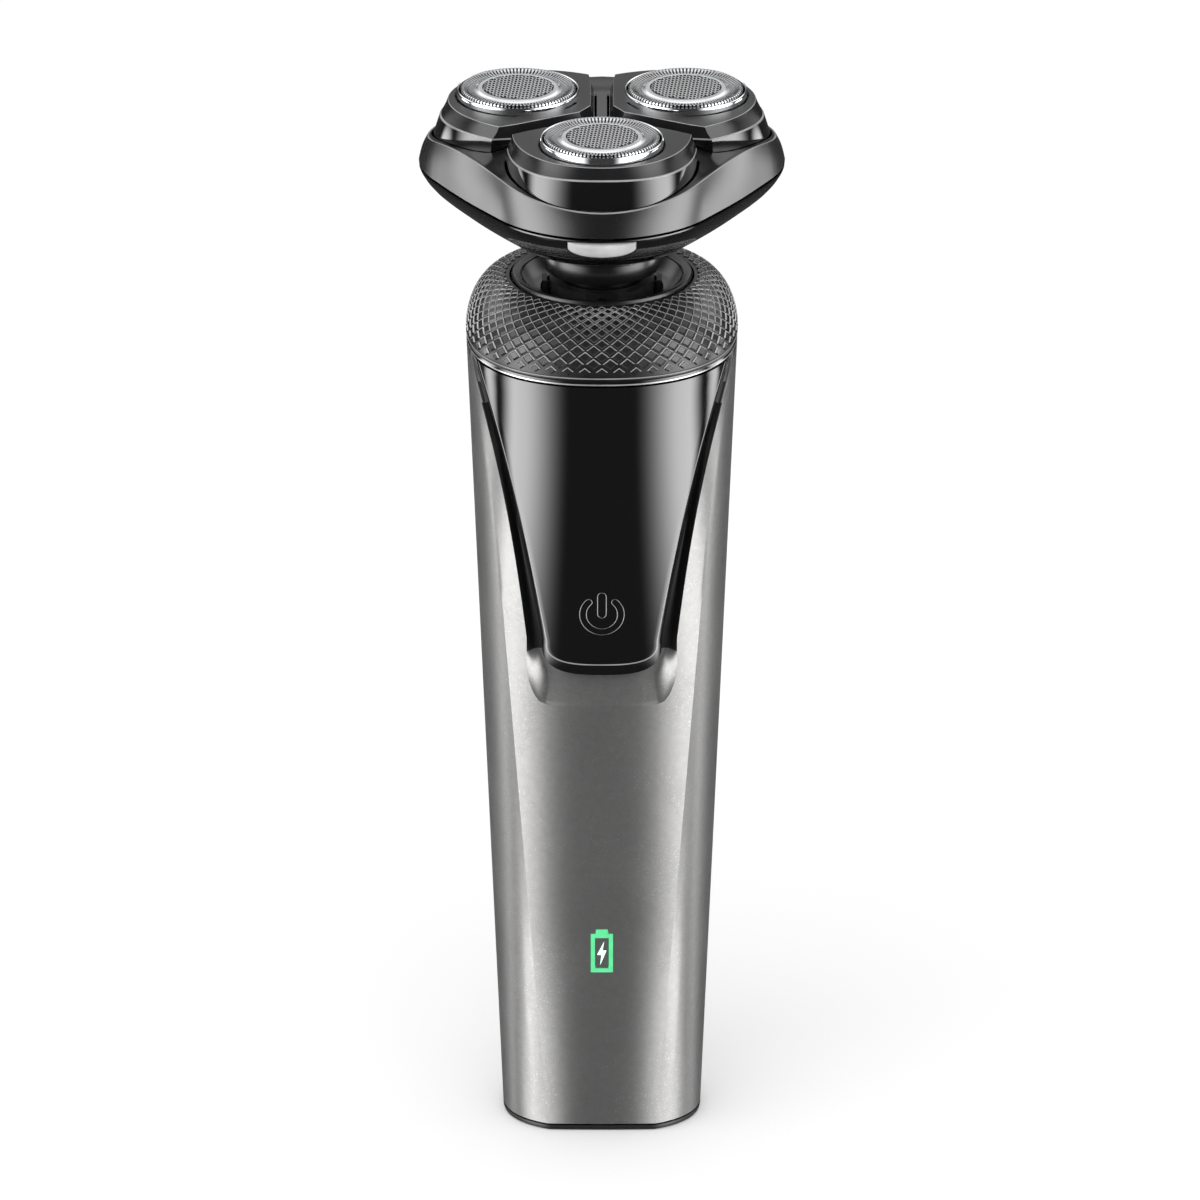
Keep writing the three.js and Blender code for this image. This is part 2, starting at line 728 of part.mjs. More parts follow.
// Outline of a cutter frame about its own lobe, between the two gaps beside it.
function frameRing(turn, tip, half, squareness, gap, z) {
  const steps = 14;
  const widest = 9;
  const apex = gap / Math.sin(TAU / 6) + 1;
  const sector = (u) => u * Math.tan(TAU / 6) - gap / Math.cos(TAU / 6);
  const side = [[apex, -sector(apex)]];
  for (let i = 0; i <= steps; i += 1) {
    const a = Math.PI * (i / steps - 0.5);
    const u = widest + (tip - widest) * Math.abs(Math.cos(a)) ** (2 / squareness);
    const v = Math.sign(a) * half * Math.abs(Math.sin(a)) ** (2 / squareness);
    side.push([u, Math.sign(v) * Math.min(Math.abs(v), sector(u))]);
  }
  side.push([apex, sector(apex)]);
  const [c, s] = polar(1, turn);
  return side.map(([u, v]) => new THREE.Vector3(u * c - v * s, u * s + v * c, z));
}

function gearBody(teeth, phase, z0, z1) {
  const pitch = (gearModule * teeth) / 2;
  const [root0, tip] = [pitch - 1.2 * gearModule, pitch + 0.85 * gearModule];
  const shape = new THREE.Shape();
  const halves = [[root0, 0.36], [tip, 0.12]];
  const step = TAU / teeth;
  for (let i = 0; i < teeth; i += 1) {
    const flank = halves.map(([r, part]) => [r, part * step - mesh / r]);
    const tooth = [
      ...flank.map(([r, a]) => polar(r, phase + i * step - a)),
      ...flank.reverse().map(([r, a]) => polar(r, phase + i * step + a)),
    ];
    tooth.forEach(([x, y], k) => (i + k === 0 ? shape.moveTo(x, y) : shape.lineTo(x, y)));
  }
  return prism(shape, z0, z1);
}

const halfMoon = (grow) => {
  const half = buttonHalfWidth + grow;
  const top = buttonTopZ + grow;
  const shape = new THREE.Shape();
  shape.moveTo(-half, top);
  for (let i = 0; i <= 10; i += 1) {
    const a = Math.PI + (Math.PI * i) / 10;
    shape.lineTo(half * Math.cos(a), buttonTopZ - 1.2 + (buttonHeight - 1.2 + grow) * Math.sin(a));
  }
  shape.lineTo(half, top);
  return shape;
};

const bowlOuter = () => loft([
  hullRing(0, bowlFootRadius, bowlFootZ),
  hullRing(lobeCentre, lobeRadius - bowlBandInset, bowlBandZ),
  hullRing(lobeCentre, lobeRadius, seamZ - seamGap / 2),
]);
const bowlInner = (grow) => loft([
  hullRing(lobeCentre, lobeRadius - bowlBandInset - bowlWall - grow, bowlBandZ + 0.4),
  hullRing(lobeCentre, lobeRadius - bowlWall - grow, seamZ),
]);
const wellAngles = lobeAngles.map((turn) => turn + Math.PI);

function makeLowerBowl() {
  const shell = cut(bowlOuter(), bowlInner(0));
  const pillars = wellAngles.map((turn) => {
    const [x, y] = polar(pillarOffset, turn);
    return rod(2.2, bowlBandZ, coverPlateZ - seat, 16).translate([x, y, 0]);
  });
  const knuckles = [-1, 1].map((side) => {
    const [a, b] = [side * (knuckleHalf + seat), side * knuckleEnd];
    return rodX(hingeRadius, Math.min(a, b), Math.max(a, b), hingeY, seamZ);
  });
  const holes = wellAngles.map((turn) => {
    const [x, y] = polar(pillarOffset, turn);
    return rod(screwShank + seat, coverPlateZ - 4, coverPlateZ, 10).translate([x, y, 0]);
  });
  const bearings = lobeAngles.map((turn) => {
    const [x, y] = polar(cutterOffset, turn);
    return rod(shaftRadius + running, bowlBandZ - 1.5, bowlBandZ + 2, 14).translate([x, y, 0]);
  });
  const window = prismY(halfMoon(seat), lobeFrontY - 2, lobeFrontY + 9);
  return cut(
    join(shell, ...pillars, ...knuckles), ...holes, ...bearings, window,
    rod(shaftRadius + running, bowlFootZ - 1, bowlBandZ + 2, 16),
    rodX(hingeRadius + seat, -knuckleHalf - seat / 2, knuckleHalf + seat / 2, hingeY, seamZ),
    rodX(hingePin + 0.1, -knuckleEnd - 1, knuckleEnd + 1, hingeY, seamZ),
  );
}

function makeNeckStem() {
  const top = bowlFootZ - seat;
  const low = pivotZ - 1.9;
  const body = turned([
    [stemBore, low], [stemRadius, low], [stemRadius, pivotZ + 2.9], [8.4, pivotZ + 4],
    [9.2, top - 0.6], [bowlFootRadius - 0.4, top], [stemBore, top], [stemBore, low],
  ], 20);
  const pins = [-1, 1].map((side) => {
    const [a, b] = [side * (stemBore + 0.8), side * (gimbalOuter - 0.3)];
    return rodY(pinRadius, Math.min(a, b), Math.max(a, b), 0, pivotZ);
  });
  return join(body, ...pins);
}

function makeGearCover() {
  const radius = lobeRadius - bowlWall - 0.9;
  const plate = loft([
    hullRing(lobeCentre, radius, coverPlateZ),
    hullRing(lobeCentre, radius, coverPlateZ + coverPlateThick),
  ]);
  const bores = lobeAngles.map((turn) => {
    const [x, y] = polar(cutterOffset, turn);
    return rod(shaftRadius + running, coverPlateZ - 1, seamZ + 1, 16).translate([x, y, 0]);
  });
  const screws = wellAngles.map((turn) => {
    const [x, y] = polar(pillarOffset, turn);
    return rod(screwShank + seat, coverPlateZ - 1, seamZ + 1, 10).translate([x, y, 0]);
  });
  const half = buttonHalfWidth + 1;
  return cut(plate, ...bores, ...screws, box(-half, half, lobeFrontY - 1, lobeFrontY + 5.8, coverPlateZ - 1, seamZ + 1));
}

function makeCoverScrew(turn) {
  const [x, y] = polar(pillarOffset, turn);
  const z = coverPlateZ + coverPlateThick + seat / 3;
  const head = turned([
    [0, z], [screwHead, z], [screwHead, z + 0.5], [1.1, z + 0.9], [0, z + 0.9],
  ], 16);
  const shank = rod(screwShank, coverPlateZ - 3, z + 0.2, 10);
  return cut(join(head, shank), box(-1.3, 1.3, -0.2, 0.2, z + 0.5, z + 2)).translate([x, y, 0]);
}

function makeDriveGear() {
  const gear = gearBody(driveTeeth, Math.PI / driveTeeth, gearZ, gearZ + gearThick);
  const shaft = rod(shaftRadius, pivotZ, gearZ + 1, 8);
  const ball = solid(new THREE.SphereGeometry(ballRadius, 10, 6)).translate([0, 0, pivotZ]);
  return join(gear, shaft, ball);
}

function makeSpindleGear(turn) {
  const gear = gearBody(spindleTeeth, turn + Math.PI + Math.PI / spindleTeeth, gearZ, gearZ + gearThick);
  const shaft = rod(shaftRadius, bowlBandZ - 1.2, spindleTopZ - 3, 8);
  const tip = rod(spindleTip, spindleTopZ - 4, spindleTopZ, 6);
  const [x, y] = polar(cutterOffset, turn);
  return join(gear, shaft, tip).translate([x, y, 0]);
}

// The face follows the bowl. A nose behind it reaches up inside the cover.
function makeReleaseButton() {
  const face = prismY(halfMoon(0), lobeFrontY - 1, lobeFrontY + 9).intersect(bowlOuter());
  const trimmed = cut(face, bowlInner(0));
  const nose = box(-2, 2, lobeFrontY + 2.4, lobeFrontY + 3.8, buttonTopZ - 2.4, seamZ + 1.2);
  return join(trimmed, nose);
}

function coverRing(inset, lift) {
  return hullRing(lobeCentre, lobeRadius, seamZ).map((p) => {
    const angle = Math.atan2(p.y, p.x);
    const r = Math.hypot(p.x, p.y);
    const v = valley(angle);
    const scale = 1 - (inset * (1 - 0.8 * v)) / r;
    const z = lobeFrontZ + (valleyZ - lobeFrontZ) * v + lift;
    return new THREE.Vector3(p.x * scale, p.y * scale, z);
  });
}

const unitAt = (turn, body) => {
  const [x, y] = polar(cutterOffset, turn);
  return body.translate([x, y, 0]);
};

function makeUpperBowl() {
  const outer = loft([
    hullRing(lobeCentre, lobeRadius, seamZ + seamGap / 2),
    coverRing(1.7, 0),
    hullRing(0, 15, coverTopZ),
  ]);
  const hollow = loft([
    hullRing(lobeCentre, lobeRadius - bowlWall, seamZ),
    hullRing(lobeCentre, lobeRadius - bowlWall - 0.8, seamZ + 2.7),
    hullRing(lobeCentre - 2, lobeRadius - 5, seamZ + 5.8),
  ]);
  const wells = lobeAngles.map((turn) => loft([
    frameRing(turn, 28.2 + running, 15.4 + running, 2.6, wellGap, seamZ),
    frameRing(turn, 28.2 + running, 15.4 + running, 2.6, wellGap, skirtZ),
    frameRing(turn, 26.4 + running, 15.0 + running, 2.6, wellGap, bevelZ + 0.1),
    frameRing(turn, 26.4 + running, 15.0 + running, 2.6, wellGap, faceZ + 3),
  ]));
  const knuckle = rodX(hingeRadius, -knuckleHalf, knuckleHalf, hingeY, seamZ);
  const shell = cut(outer, hollow);
  const slots = [-1, 1].map((side) => {
    const [a, b] = [side * (knuckleHalf + seat / 2), side * (knuckleEnd + seat)];
    return rodX(hingeRadius + seat, Math.min(a, b), Math.max(a, b), hingeY, seamZ);
  });
  return cut(
    join(shell, knuckle), ...wells, ...slots,
    rodX(hingePin + 0.1, -knuckleEnd, knuckleEnd, hingeY, seamZ),
  );
}

function makeCutterFrame(turn) {
  const body = loft([
    frameRing(turn, 28.2, 15.4, 2.6, frameGap, skirtZ),
    frameRing(turn, 26.4, 15.0, 2.6, frameGap, bevelZ),
    frameRing(turn, 26.1, 14.3, 2.15, frameGap + 0.6, faceZ),
  ]);
  const bore = unitAt(turn, rod(frameBore, skirtZ - 1, faceZ + 1, 24));
  return cut(body, bore, unitAt(turn, rod(ringOuter + seat, faceZ - 0.8, faceZ + 1, 24)));
}

function makeChromeRing(turn) {
  const z = faceZ - 0.5;
  return unitAt(turn, turned([
    [ringInner, z], [ringOuter, z], [ringOuter, ringTopZ - 0.2], [ringOuter - 0.15, ringTopZ],
    [ringInner, ringTopZ], [ringInner, z],
  ], 24));
}

function makeFoilCap(turn) {
  const t = foilTopZ;
  const low = 168.2;
  const inside = foilRadius - foilThick;
  return unitAt(turn, turned([
    [0, t], [foilRadius - 0.4, t], [foilRadius, t - 0.5], [foilRadius, low], [inside, low],
    [inside, t - foilThick], [0, t - foilThick],
  ], 24));
}

function makeRetainer(turn) {
  const plate = rod(foilRadius, retainerZ, retainerZ + 1, 20);
  const windows = [0, 1, 2].map((k) => {
    const shape = new THREE.Shape();
    const [a, b] = [(TAU * k) / 3 + 0.22, (TAU * (k + 1)) / 3 - 0.22];
    shape.absarc(0, 0, 7.9, a, b, false);
    shape.absarc(0, 0, 3.9, b, a, true);
    return prism(shape, retainerZ - 1, retainerZ + 2, 3);
  });
  const bore = rod(shaftRadius + 1.2, retainerZ - 1, retainerZ + 2, 12);
  return unitAt(turn, cut(plate, bore, ...windows));
}

function makeInnerCutter(turn) {
  const disc = rod(8.2, 168.3, 168.9, 18);
  const hub = rod(2.5, retainerZ + 1 + seat, 170.4, 12);
  const top = foilTopZ - foilThick - bladeTopGap;
  const blades = [];
  for (let i = 0; i < bladeCount; i += 1) {
    const blade = box(6.5, 8.1, -0.3, 0.3, 168.6, top);
    blades.push(blade.rotate([0, 0, (360 * i) / bladeCount]));
  }
  const socket = rod(spindleTip + running, retainerZ, spindleTopZ + unitTravel + seat, 12);
  return unitAt(turn, cut(join(disc, hub, ...blades), socket));
}

// ---- Assembly ----

const black = '#141416';
const grey = '#3d3e40';
const metal = '#6d7076';
const steel = '#c9ccd0';

place('main_casing', makeCasing(), '#4a4d52', 0.35, 0.8);
place('base_cap', makeBaseCap(), '#1a1b1d', 0.4, 0.1);
baseScrews.forEach((at, i) => place(`base_screw_${i + 1}`, makeBaseScrew(at), metal, 0.35, 1));
place('front_panel', makePanel(), black, 0.08, 0);
place('power_key', makePowerKey(), '#202124', 0.15, 0);
place('grip_collar', makeCollar(), '#26272a', 0.45, 0);
place('rim_trim', makeRimTrim(), black, 0.2, 0);
place('neck_ring', makeNeckRing(), black, 0.15, 0);
place('neck_socket', makeNeckSocket(), grey, 0.5, 0);
place('icon_frame', makeIconFrame(), '#5fe08a', 0.4, 0);
place('icon_bolt', makeIconBolt(), '#f2fff6', 0.4, 0);
place('chassis', makeChassis(), '#8c8f94', 0.6, 0);
place('battery_cell', makeCell(), '#2f6fb0', 0.4, 0.2);
place('battery_tab_bottom', makeCellTab(cellZ - 1.3), steel, 0.3, 1);
place('battery_tab_top', makeCellTab(cellZ + cellHeight + 0.4), steel, 0.3, 1);
place('motor_can', makeMotorCan(), steel, 0.3, 1);
place('motor_mount', makeMotorMount().translate([0, 0, seat]), metal, 0.4, 0.8);
place('circuit_board', makeBoard(), '#1f6b3a', 0.5, 0);
place('tact_switch', makeSwitch(), '#303236', 0.5, 0);
place('charge_socket', makeChargeSocket(), '#1d1e20', 0.5, 0);
place('light_guide', makeLightGuide(), '#e8f4ee', 0.2, 0);
place('motor_shaft', makeMotorShaft(), steel, 0.2, 1);
place('drive_coupler', makeCoupler(), '#d8d5cc', 0.5, 0);
place('gimbal_ring', makeGimbalRing(), '#d8d5cc', 0.5, 0);
place('lower_bowl', makeLowerBowl(), black, 0.1, 0);
place('neck_stem', makeNeckStem(), black, 0.2, 0);
place('gear_cover', makeGearCover(), grey, 0.5, 0);
wellAngles.forEach((turn, i) => {
  place(`gear_cover_screw_${i + 1}`, makeCoverScrew(turn), metal, 0.3, 1);
});
place('hinge_pin', rodX(hingePin, -knuckleEnd, knuckleEnd, hingeY, seamZ), steel, 0.25, 1);
place('drive_gear', makeDriveGear(), '#e4e2da', 0.5, 0);
place('release_button', makeReleaseButton(), '#b9bcc0', 0.3, 1);
place('upper_bowl', makeUpperBowl(), black, 0.08, 0);
lobeAngles.forEach((turn, i) => {
  place(`spindle_gear_${i + 1}`, makeSpindleGear(turn), '#e4e2da', 0.5, 0);
  place(`cutter_frame_${i + 1}`, makeCutterFrame(turn), grey, 0.55, 0);
  place(`chrome_ring_${i + 1}`, makeChromeRing(turn), '#e6e8ea', 0.08, 1);
  place(`foil_cap_${i + 1}`, makeFoilCap(turn), steel, 0.25, 1);
  place(`cutter_retainer_${i + 1}`, makeRetainer(turn), grey, 0.5, 0);
  place(`inner_cutter_${i + 1}`, makeInnerCutter(turn), steel, 0.25, 1);
});

export default root;
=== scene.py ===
"""The looks of a three-head rotary shaver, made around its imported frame.

Outlines are worked out in millimetres and become metres when a mesh is made.
The front of the shaver faces -Y and it stands on z = 0.
"""

import json
import math
from functools import partial

import bmesh
import bpy
from bpy.props import FloatProperty, FloatVectorProperty, IntProperty, PointerProperty
from mathutils import Matrix, Vector


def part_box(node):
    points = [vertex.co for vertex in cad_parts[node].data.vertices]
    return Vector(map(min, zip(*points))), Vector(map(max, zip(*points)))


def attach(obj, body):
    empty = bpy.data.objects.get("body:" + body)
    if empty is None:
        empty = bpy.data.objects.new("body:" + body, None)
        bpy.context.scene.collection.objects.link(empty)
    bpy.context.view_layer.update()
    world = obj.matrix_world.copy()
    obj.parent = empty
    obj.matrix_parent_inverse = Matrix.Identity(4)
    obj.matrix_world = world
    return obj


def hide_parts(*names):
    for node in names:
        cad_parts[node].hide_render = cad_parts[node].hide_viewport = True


bl_info = {
    "name": "Rotary shaver looks",
    "version": (1, 0, 0),
    "blender": (4, 5, 0),
    "location": "3D View > Sidebar > Shaver",
    "description": "Fine surfaces, knurl, foils and finishes for a rotary shaver",
    "category": "Object",
}

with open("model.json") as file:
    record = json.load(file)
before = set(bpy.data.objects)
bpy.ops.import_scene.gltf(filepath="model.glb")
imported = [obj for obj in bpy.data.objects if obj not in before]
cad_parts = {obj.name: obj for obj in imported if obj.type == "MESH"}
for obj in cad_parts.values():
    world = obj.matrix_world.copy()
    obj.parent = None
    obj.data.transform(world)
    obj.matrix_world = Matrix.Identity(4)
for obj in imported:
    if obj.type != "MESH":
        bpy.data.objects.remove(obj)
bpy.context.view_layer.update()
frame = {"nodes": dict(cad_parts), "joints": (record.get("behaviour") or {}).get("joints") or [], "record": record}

MM = 0.001
TAU = math.tau


def span(node):
    """Lowest and highest corner of a frame node, in millimetres."""
    low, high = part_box(node)
    return low / MM, high / MM


def joint(name):
    return next(row for row in frame["joints"] if row["name"] == name)


CASING = span("main_casing")
COLLAR = span("grip_collar")
BASE = span("base_cap")
LOWER = span("lower_bowl")
NECK_RING = span("neck_ring")
FRAMES = [span(f"cutter_frame_{i}") for i in (1, 2, 3)]
FOIL_TOP = span("foil_cap_1")[1].z
RING_TOP = span("chrome_ring_1")[1].z
FACE_Z = FRAMES[0][1].z
SKIRT_Z = FRAMES[0][0].z
RIM_Z = CASING[1].z
CUTTERS = [Vector(joint(f"spindle_spin_{i}")["pos_m"]) / MM for i in (1, 2, 3)]
TURNS = [math.atan2(c.y, c.x) for c in CUTTERS]
HINGE = Vector(joint("cover_hinge")["pos_m"]) / MM
HINGE_BARREL = 1.25
HINGE_BORE = 0.72
HINGE_SLOT = 1.6
SEAM_Z = HINGE.z
SEAM_GAP = 0.34

# Handle section, which the casing, the panel, the base and the collar share.
ROUND = 2.3
BASE_HALF_WIDTH = 15.95
RIM_HALF_WIDTH = COLLAR[1].x
BASE_HALF_DEPTH = 11.5
RIM_HALF_DEPTH = -COLLAR[0].y
FACET_AT_BASE = 8.6
PANEL_FOOT = 88.0
PANEL_END = 9.6

# Head outlines
LOBE_CENTRE = 12.4
LOBE_RADIUS = -LOWER[0].y - LOBE_CENTRE
CREST_FRONT = 164.3
CREST_VALLEY = 168.0
FRAME_WIDEST = 9.0
FOIL_RADIUS = 9.15


# ---------------------------------------------------------------- properties


class ShaverSizes(bpy.types.PropertyGroup):
    """Sizes of the fine detail, in millimetres."""

    knurl_around: IntProperty(
        name="Diamonds around", description="Diamonds round the grip collar", default=54, min=12
    )
    knurl_rows: IntProperty(
        name="Diamond rows", description="Half rows from the rim to the neck", default=13, min=4
    )
    knurl_height: FloatProperty(
        name="Diamond height", description="How far a diamond stands out, mm", default=0.28
    )
    slot_count: IntProperty(
        name="Foil slots", description="Radial slots round each foil", default=92, min=12
    )
    hole_pitch: FloatProperty(
        name="Hole pitch", description="Distance between the holes of the foil, mm", default=0.6
    )
    groove: FloatProperty(
        name="Groove depth", description="Depth of the groove round the panel, mm", default=2.3
    )


class ShaverColours(bpy.types.PropertyGroup):
    """Main colours of the shaver, linear."""

    casing: FloatVectorProperty(
        name="Casing", description="Gunmetal paint", subtype="COLOR", default=(0.2, 0.198, 0.196)
    )
    gloss: FloatVectorProperty(
        name="Gloss", description="Polished plastic", subtype="COLOR", default=(0.004, 0.004, 0.0045)
    )
    face: FloatVectorProperty(
        name="Cutter face", description="Matte face", subtype="COLOR", default=(0.022, 0.022, 0.023)
    )
    icon: FloatVectorProperty(
        name="Battery icon", description="Lit frame", subtype="COLOR", default=(0.10, 0.62, 0.26)
    )


def sizes():
    return bpy.context.scene.shaver_sizes


def colours():
    return bpy.context.scene.shaver_colours


# ------------------------------------------------------------- mesh building


def polar(radius, angle):
    return radius * math.cos(angle), radius * math.sin(angle)


def smooth(t):
    t = min(1.0, max(0.0, t))
    return t * t * (3 - 2 * t)


def power(value, exponent):
    return math.copysign(abs(value) ** exponent, value)


class Skin:
    """Points and faces of one piece, gathered ring by ring, in millimetres."""

    def __init__(self):
        self.points = []
        self.faces = []
        self.finish = []

    def ring(self, points):
        start = len(self.points)
        self.points.extend(Vector(p) for p in points)
        return list(range(start, len(self.points)))

    def face(self, corners, finish=0):
        self.faces.append(tuple(corners))
        self.finish.append(finish)

    def bridge(self, a, b, finish=0, closed=True):
        count = len(a)
        for i in range(count if closed else count - 1):
            j = (i + 1) % count
            self.face((a[i], a[j], b[j], b[i]), finish)

    def loft(self, rings, finish=0, closed=True):
        rows = [self.ring(r) for r in rings]
        for a, b in zip(rows, rows[1:]):
            self.bridge(a, b, finish, closed)
        return rows

    def fan(self, row, centre, finish=0):
        tip = self.ring([centre])[0]
        for i, a in enumerate(row):
            self.face((a, row[(i + 1) % len(row)], tip), finish)

    def mesh(self, name, sharp=30.0):
        """A closed, welded mesh with its faces out."""
        mesh = bpy.data.meshes.new(name)
        mesh.from_pydata([p * MM for p in self.points], [], self.faces)
        mesh.polygons.foreach_set("material_index", self.finish)
        return tidy(mesh, sharp)


def tidy(mesh, sharp=30.0):
    work = bmesh.new()
    work.from_mesh(mesh)
    bmesh.ops.remove_doubles(work, verts=work.verts, dist=2e-7)
    bmesh.ops.dissolve_degenerate(work, edges=work.edges, dist=2e-7)
    bmesh.ops.recalc_face_normals(work, faces=work.faces)
    work.to_mesh(mesh)
    work.free()
    mesh.shade_smooth()
    mesh.set_sharp_from_angle(angle=math.radians(sharp))
    return mesh


def merged(name, meshes):
    """One mesh of several, each with its own materials."""
    work = bmesh.new()
    materials = []
    for part in meshes:
        shift = len(materials)
        start = len(work.faces)
        work.from_mesh(part)
        work.faces.ensure_lookup_table()
        for face in work.faces[start:]:
            face.material_index += shift
        materials.extend(part.materials)
    mesh = bpy.data.meshes.new(name)
    work.to_mesh(mesh)
    work.free()
    for material in materials:
        mesh.materials.append(material)
    return mesh


def dressed(mesh, *materials):
    for material in materials:
        mesh.materials.append(material)
    return mesh


def piece(name, mesh, body, slot, *nodes):
    """Puts a mesh into the scene on its body, in place of the frame nodes named."""
    thing = bpy.data.objects.new(name.replace(" ", "_"), mesh)
    bpy.context.scene.collection.objects.link(thing)
    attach(thing, body)
    if nodes:
        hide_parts(*nodes)
    return thing


def carved(mesh, *cutters, sharp=30):
    """The mesh with other closed meshes cut out of it."""
    thing = bpy.data.objects.new("carving", mesh)
    bpy.context.scene.collection.objects.link(thing)
    tools = []
    for cutter in cutters:
        tool = bpy.data.objects.new("tool", cutter)
        bpy.context.scene.collection.objects.link(tool)
        modifier = thing.modifiers.new("cut", "BOOLEAN")
        modifier.operation = "DIFFERENCE"
        modifier.solver = "EXACT"
        modifier.object = tool
        tools.append(tool)
    bpy.context.view_layer.update()
    graph = bpy.context.evaluated_depsgraph_get()
    result = bpy.data.meshes.new_from_object(thing.evaluated_get(graph), depsgraph=graph)
    for spare in (thing, *tools):
        bpy.data.objects.remove(spare)
    while len(result.materials) > len(mesh.materials):
        result.materials.pop()
    result.shade_smooth()
    result.set_sharp_from_angle(angle=math.radians(sharp))
    return result


def lathe(profile, steps=96, centre=(0.0, 0.0), closed=True, finish=0):
    """A profile of (radius, z) turned about a vertical axis."""
    skin = Skin()
    rows = []
    for radius, z in profile:
        row = []
        for i in range(steps):
            x, y = polar(radius, TAU * i / steps)
            row.append((centre[0] + x, centre[1] + y, z))
        rows.append(skin.ring(row))
    for a, b in zip(rows, rows[1:]):
        skin.bridge(a, b, finish)
    if closed:
        skin.bridge(rows[-1], rows[0], finish)
    return skin


# --------------------------------------------------------- repeated patterns


def repeat_tree():
    """Puts a piece on every point, turned and sized by the point's own attributes."""
    name = "Shaver repeat"
    tree = bpy.data.node_groups.get(name)
    if tree:
        return tree
    tree = bpy.data.node_groups.new(name, "GeometryNodeTree")
    face = tree.interface
    face.new_socket("Points", in_out="INPUT", socket_type="NodeSocketGeometry")
    face.new_socket("Piece", in_out="INPUT", socket_type="NodeSocketObject")
    face.new_socket("Size", in_out="INPUT", socket_type="NodeSocketFloat").default_value = 1.0
    face.new_socket("Finish", in_out="INPUT", socket_type="NodeSocketMaterial")
    face.new_socket("Geometry", in_out="OUTPUT", socket_type="NodeSocketGeometry")
    add = tree.nodes.new
    start, end = add("NodeGroupInput"), add("NodeGroupOutput")
    info = add("GeometryNodeObjectInfo")
    place = add("GeometryNodeInstanceOnPoints")
    turn, size = add("GeometryNodeInputNamedAttribute"), add("GeometryNodeInputNamedAttribute")
    grow = add("ShaderNodeVectorMath")
    rotation = add("FunctionNodeEulerToRotation")
    real, paint = add("GeometryNodeRealizeInstances"), add("GeometryNodeSetMaterial")
    for reader, attribute in ((turn, "turn"), (size, "size")):
        reader.data_type = "FLOAT_VECTOR"
        reader.inputs["Name"].default_value = attribute
    grow.operation = "SCALE"
    link = tree.links.new
    link(start.outputs["Points"], place.inputs["Points"])
    link(start.outputs["Piece"], info.inputs["Object"])
    link(info.outputs["Geometry"], place.inputs["Instance"])
    link(turn.outputs["Attribute"], rotation.inputs["Euler"])
    link(rotation.outputs["Rotation"], place.inputs["Rotation"])
    link(size.outputs["Attribute"], grow.inputs[0])
    link(start.outputs["Size"], grow.inputs["Scale"])
    link(grow.outputs[0], place.inputs["Scale"])
    link(place.outputs["Instances"], real.inputs["Geometry"])
    link(real.outputs["Geometry"], paint.inputs["Geometry"])
    link(start.outputs["Finish"], paint.inputs["Material"])
    link(paint.outputs["Geometry"], end.inputs["Geometry"])
    return tree


def repeated(name, pattern, places, material, size=1.0):
    """Bakes a pattern skin onto places of (position, axes, scale) as one plain mesh."""
    scene = bpy.context.scene.collection
    unit = bpy.data.objects.new("pattern", pattern)
    scene.objects.link(unit)
    points = bpy.data.meshes.new(name)
    points.from_pydata([Vector(p) * MM for p, _, _ in places], [], [])
    turn = points.attributes.new("turn", "FLOAT_VECTOR", "POINT")
    scale = points.attributes.new("size", "FLOAT_VECTOR", "POINT")
    turn.data.foreach_set("vector", [v for _, axes, _ in places for v in axes.to_euler()])
    scale.data.foreach_set("vector", [v for _, _, s in places for v in s])
    carrier = bpy.data.objects.new(name, points)
    scene.objects.link(carrier)
    modifier = carrier.modifiers.new("repeat", "NODES")
    tree = repeat_tree()
    modifier.node_group = tree
    given = {"Piece": unit, "Size": size, "Finish": material}
    for item in tree.interface.items_tree:
        if item.name in given:
            modifier[item.identifier] = given[item.name]
    bpy.context.view_layer.update()
    graph = bpy.context.evaluated_depsgraph_get()
    mesh = bpy.data.meshes.new_from_object(carrier.evaluated_get(graph), depsgraph=graph)
    bpy.data.objects.remove(carrier)
    bpy.data.objects.remove(unit)
    if not mesh.polygons:
        raise RuntimeError(f"{name}: the pattern came out empty")
    return mesh


def axes_of(along, up):
    """Rotation whose X runs along, and whose Z is nearest to up."""
    x = Vector(along).normalized()
    y = Vector(up).cross(x).normalized()
    return Matrix((x, y, x.cross(y))).transposed()


# ----------------------------------------------------------------- materials


